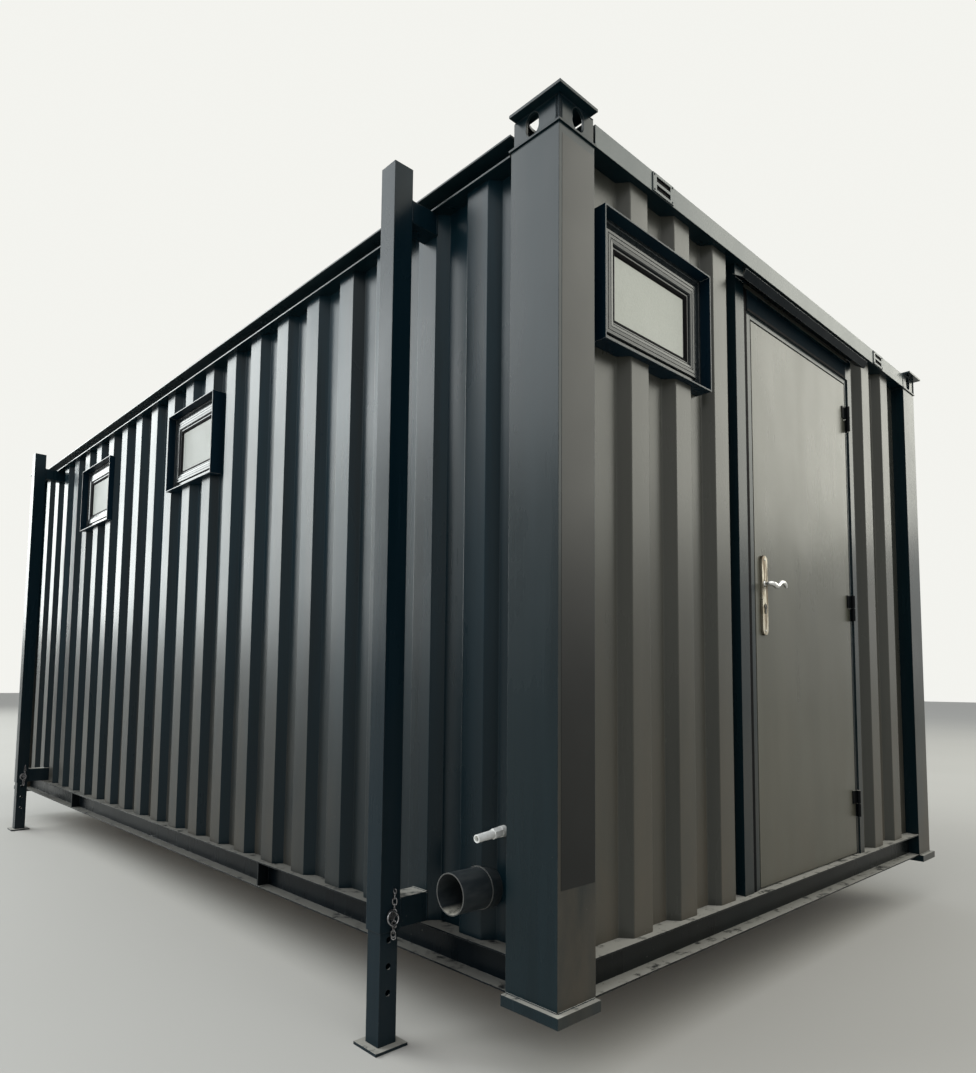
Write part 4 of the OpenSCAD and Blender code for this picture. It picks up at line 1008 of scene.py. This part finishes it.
def add_keyhole_shade():
    """A thin black patch on the key cylinder's face, painted shade of the keyhole, on both sides of the
    door.
    """
    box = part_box("lock_cylinder")
    middle = (box[0].x + box[1].x) / 2
    height = box[1].z - 8.5 * MM
    shape = Shape()
    for y, out in ((box[0].y, -1), (box[1].y, 1)):
        near, far = y + out * 0.1 * MM, y + out * 0.35 * MM
        corners = ((-1.3, -9), (1.3, -9), (1.3, 3), (-1.3, 3))
        shape.rings([[Vector((middle + dx * MM, depth, height + dz * MM)) for dx, dz in corners]
                     for depth in (near, far)])
    shape.piece("keyhole_shade_patches", rubber_and_shade, "satin_metal", body="door")


for name in BENT_SHEETS:
    add_bent_sheet(name)
add_welds()
add_windows()
add_pin_chains()
add_vent_screws()
add_lock_plate_screws()
add_frame_rubber_and_shade()
add_head_shade_plate()
add_vent_screens()
add_bare_strip()
add_lever()
add_keyhole_shade()


# Floor, light and camera


def add_floor():
    """The pale studio floor, which is no part of the cabin."""
    reach = 60
    mesh = bpy.data.meshes.new("studio_floor")
    corners = ((-reach, -reach, 0), (reach, -reach, 0), (reach, reach, 0), (-reach, reach, 0))
    mesh.from_pydata(corners, [], [(0, 1, 2, 3)])
    mesh.materials.append(studio_floor())
    made = bpy.data.objects.new("studio_floor", mesh)
    bpy.context.scene.collection.objects.link(made)
    made.location.z = -0.0005


def add_softbox(name, position, aim, width, height, brightness, colour):
    """A flat lamp whose brightness is the radiance that it shows in a mirror."""
    light = bpy.data.lights.new(name, "AREA")
    light.shape = "RECTANGLE"
    light.size = width
    light.size_y = height
    light.energy = brightness * math.pi * width * height
    light.color = colour
    made = bpy.data.objects.new(name, light)
    bpy.context.scene.collection.objects.link(made)
    made.location = position
    made.rotation_mode = "QUATERNION"
    made.rotation_quaternion = (Vector(aim) - Vector(position)).to_track_quat("-Z", "Y")
    made.visible_camera = False


def add_world():
    """White to the camera, to gloss and to glass; a plain soft sky for everything else."""
    world = bpy.data.worlds.new("studio")
    bpy.context.scene.world = world
    world.use_nodes = True
    tree = world.node_tree
    tree.nodes.clear()

    def background(colour, strength):
        made = tree.nodes.new("ShaderNodeBackground")
        made.inputs["Color"].default_value = (*colour, 1.0)
        made.inputs["Strength"].default_value = strength
        return made.outputs[0]

    path = tree.nodes.new("ShaderNodeLightPath")
    shown = path.outputs["Is Camera Ray"]
    for ray in ("Is Glossy Ray", "Is Transmission Ray"):
        either = tree.nodes.new("ShaderNodeMath")
        either.operation = "MAXIMUM"
        tree.links.new(shown, either.inputs[0])
        tree.links.new(path.outputs[ray], either.inputs[1])
        shown = either.outputs[0]
    mixed = tree.nodes.new("ShaderNodeMixShader")
    output = tree.nodes.new("ShaderNodeOutputWorld")
    tree.links.new(shown, mixed.inputs["Fac"])
    tree.links.new(background((0.88, 0.94, 1.0), 0.55), mixed.inputs[1])
    tree.links.new(background((0.90, 0.90, 0.86), 1.0), mixed.inputs[2])
    tree.links.new(mixed.outputs[0], output.inputs["Surface"])


# The photo's camera, solved from the cabin's straight edges: its place in millimetres, its angles
# in degrees, its focal length in pixels of the photo and its shift in shares of the picture
CAMERA_PLACE = (-1435, -1253, 694)
CAMERA_AZIMUTH = 43.45
CAMERA_ELEVATION = 4.59
CAMERA_ROLL = -0.551
CAMERA_SHIFT = (0.0018, 0.0800)
FOCAL_PIXELS = 761.5
PHOTO_HEIGHT = 1073
SENSOR = 36.0


def add_camera():
    """The camera that took the photo."""
    camera = bpy.data.cameras.new("camera")
    camera.sensor_width = SENSOR
    camera.lens = FOCAL_PIXELS * SENSOR / PHOTO_HEIGHT
    camera.shift_x, camera.shift_y = CAMERA_SHIFT
    camera.clip_start = 0.05
    camera.clip_end = 200
    made = bpy.data.objects.new("camera", camera)
    bpy.context.scene.collection.objects.link(made)
    azimuth, elevation = math.radians(CAMERA_AZIMUTH), math.radians(CAMERA_ELEVATION)
    forward = Vector((math.sin(azimuth) * math.cos(elevation), math.cos(azimuth) * math.cos(elevation),
                      math.sin(elevation)))
    level = forward.to_track_quat("-Z", "Y").to_matrix()
    roll = Matrix.Rotation(math.radians(CAMERA_ROLL), 3, forward)
    made.matrix_world = Matrix.Translation(place(*CAMERA_PLACE)) @ (roll @ level).to_4x4()
    bpy.context.scene.camera = made


add_floor()
add_softbox("left_rear_softbox", position=(-10.3, 22.0, 8.9), aim=(-1.4, 0.0, 1.6), width=13.0, height=13.0,
            brightness=7.1, colour=(0.95, 1.0, 0.99))
add_softbox("left_high_softbox", position=(-12.0, 8.0, 11.0), aim=(-1.4, -2.0, 1.6), width=11.0, height=9.0,
            brightness=4.2, colour=(0.93, 0.98, 1.0))
add_softbox("right_front_softbox", position=(13.8, -11.4, 10.1), aim=(0.0, -2.6, 1.5), width=13.0,
            height=11.5, brightness=3.15, colour=(1.0, 0.99, 0.87))
add_softbox("overhead_softbox", position=(-3.0, -4.0, 9.0), aim=(0.0, 0.0, 1.0), width=9.0, height=9.0,
            brightness=1.2, colour=(1.0, 1.0, 1.0))
add_world()
add_camera()
bpy.context.scene.view_settings.view_transform = "Standard"
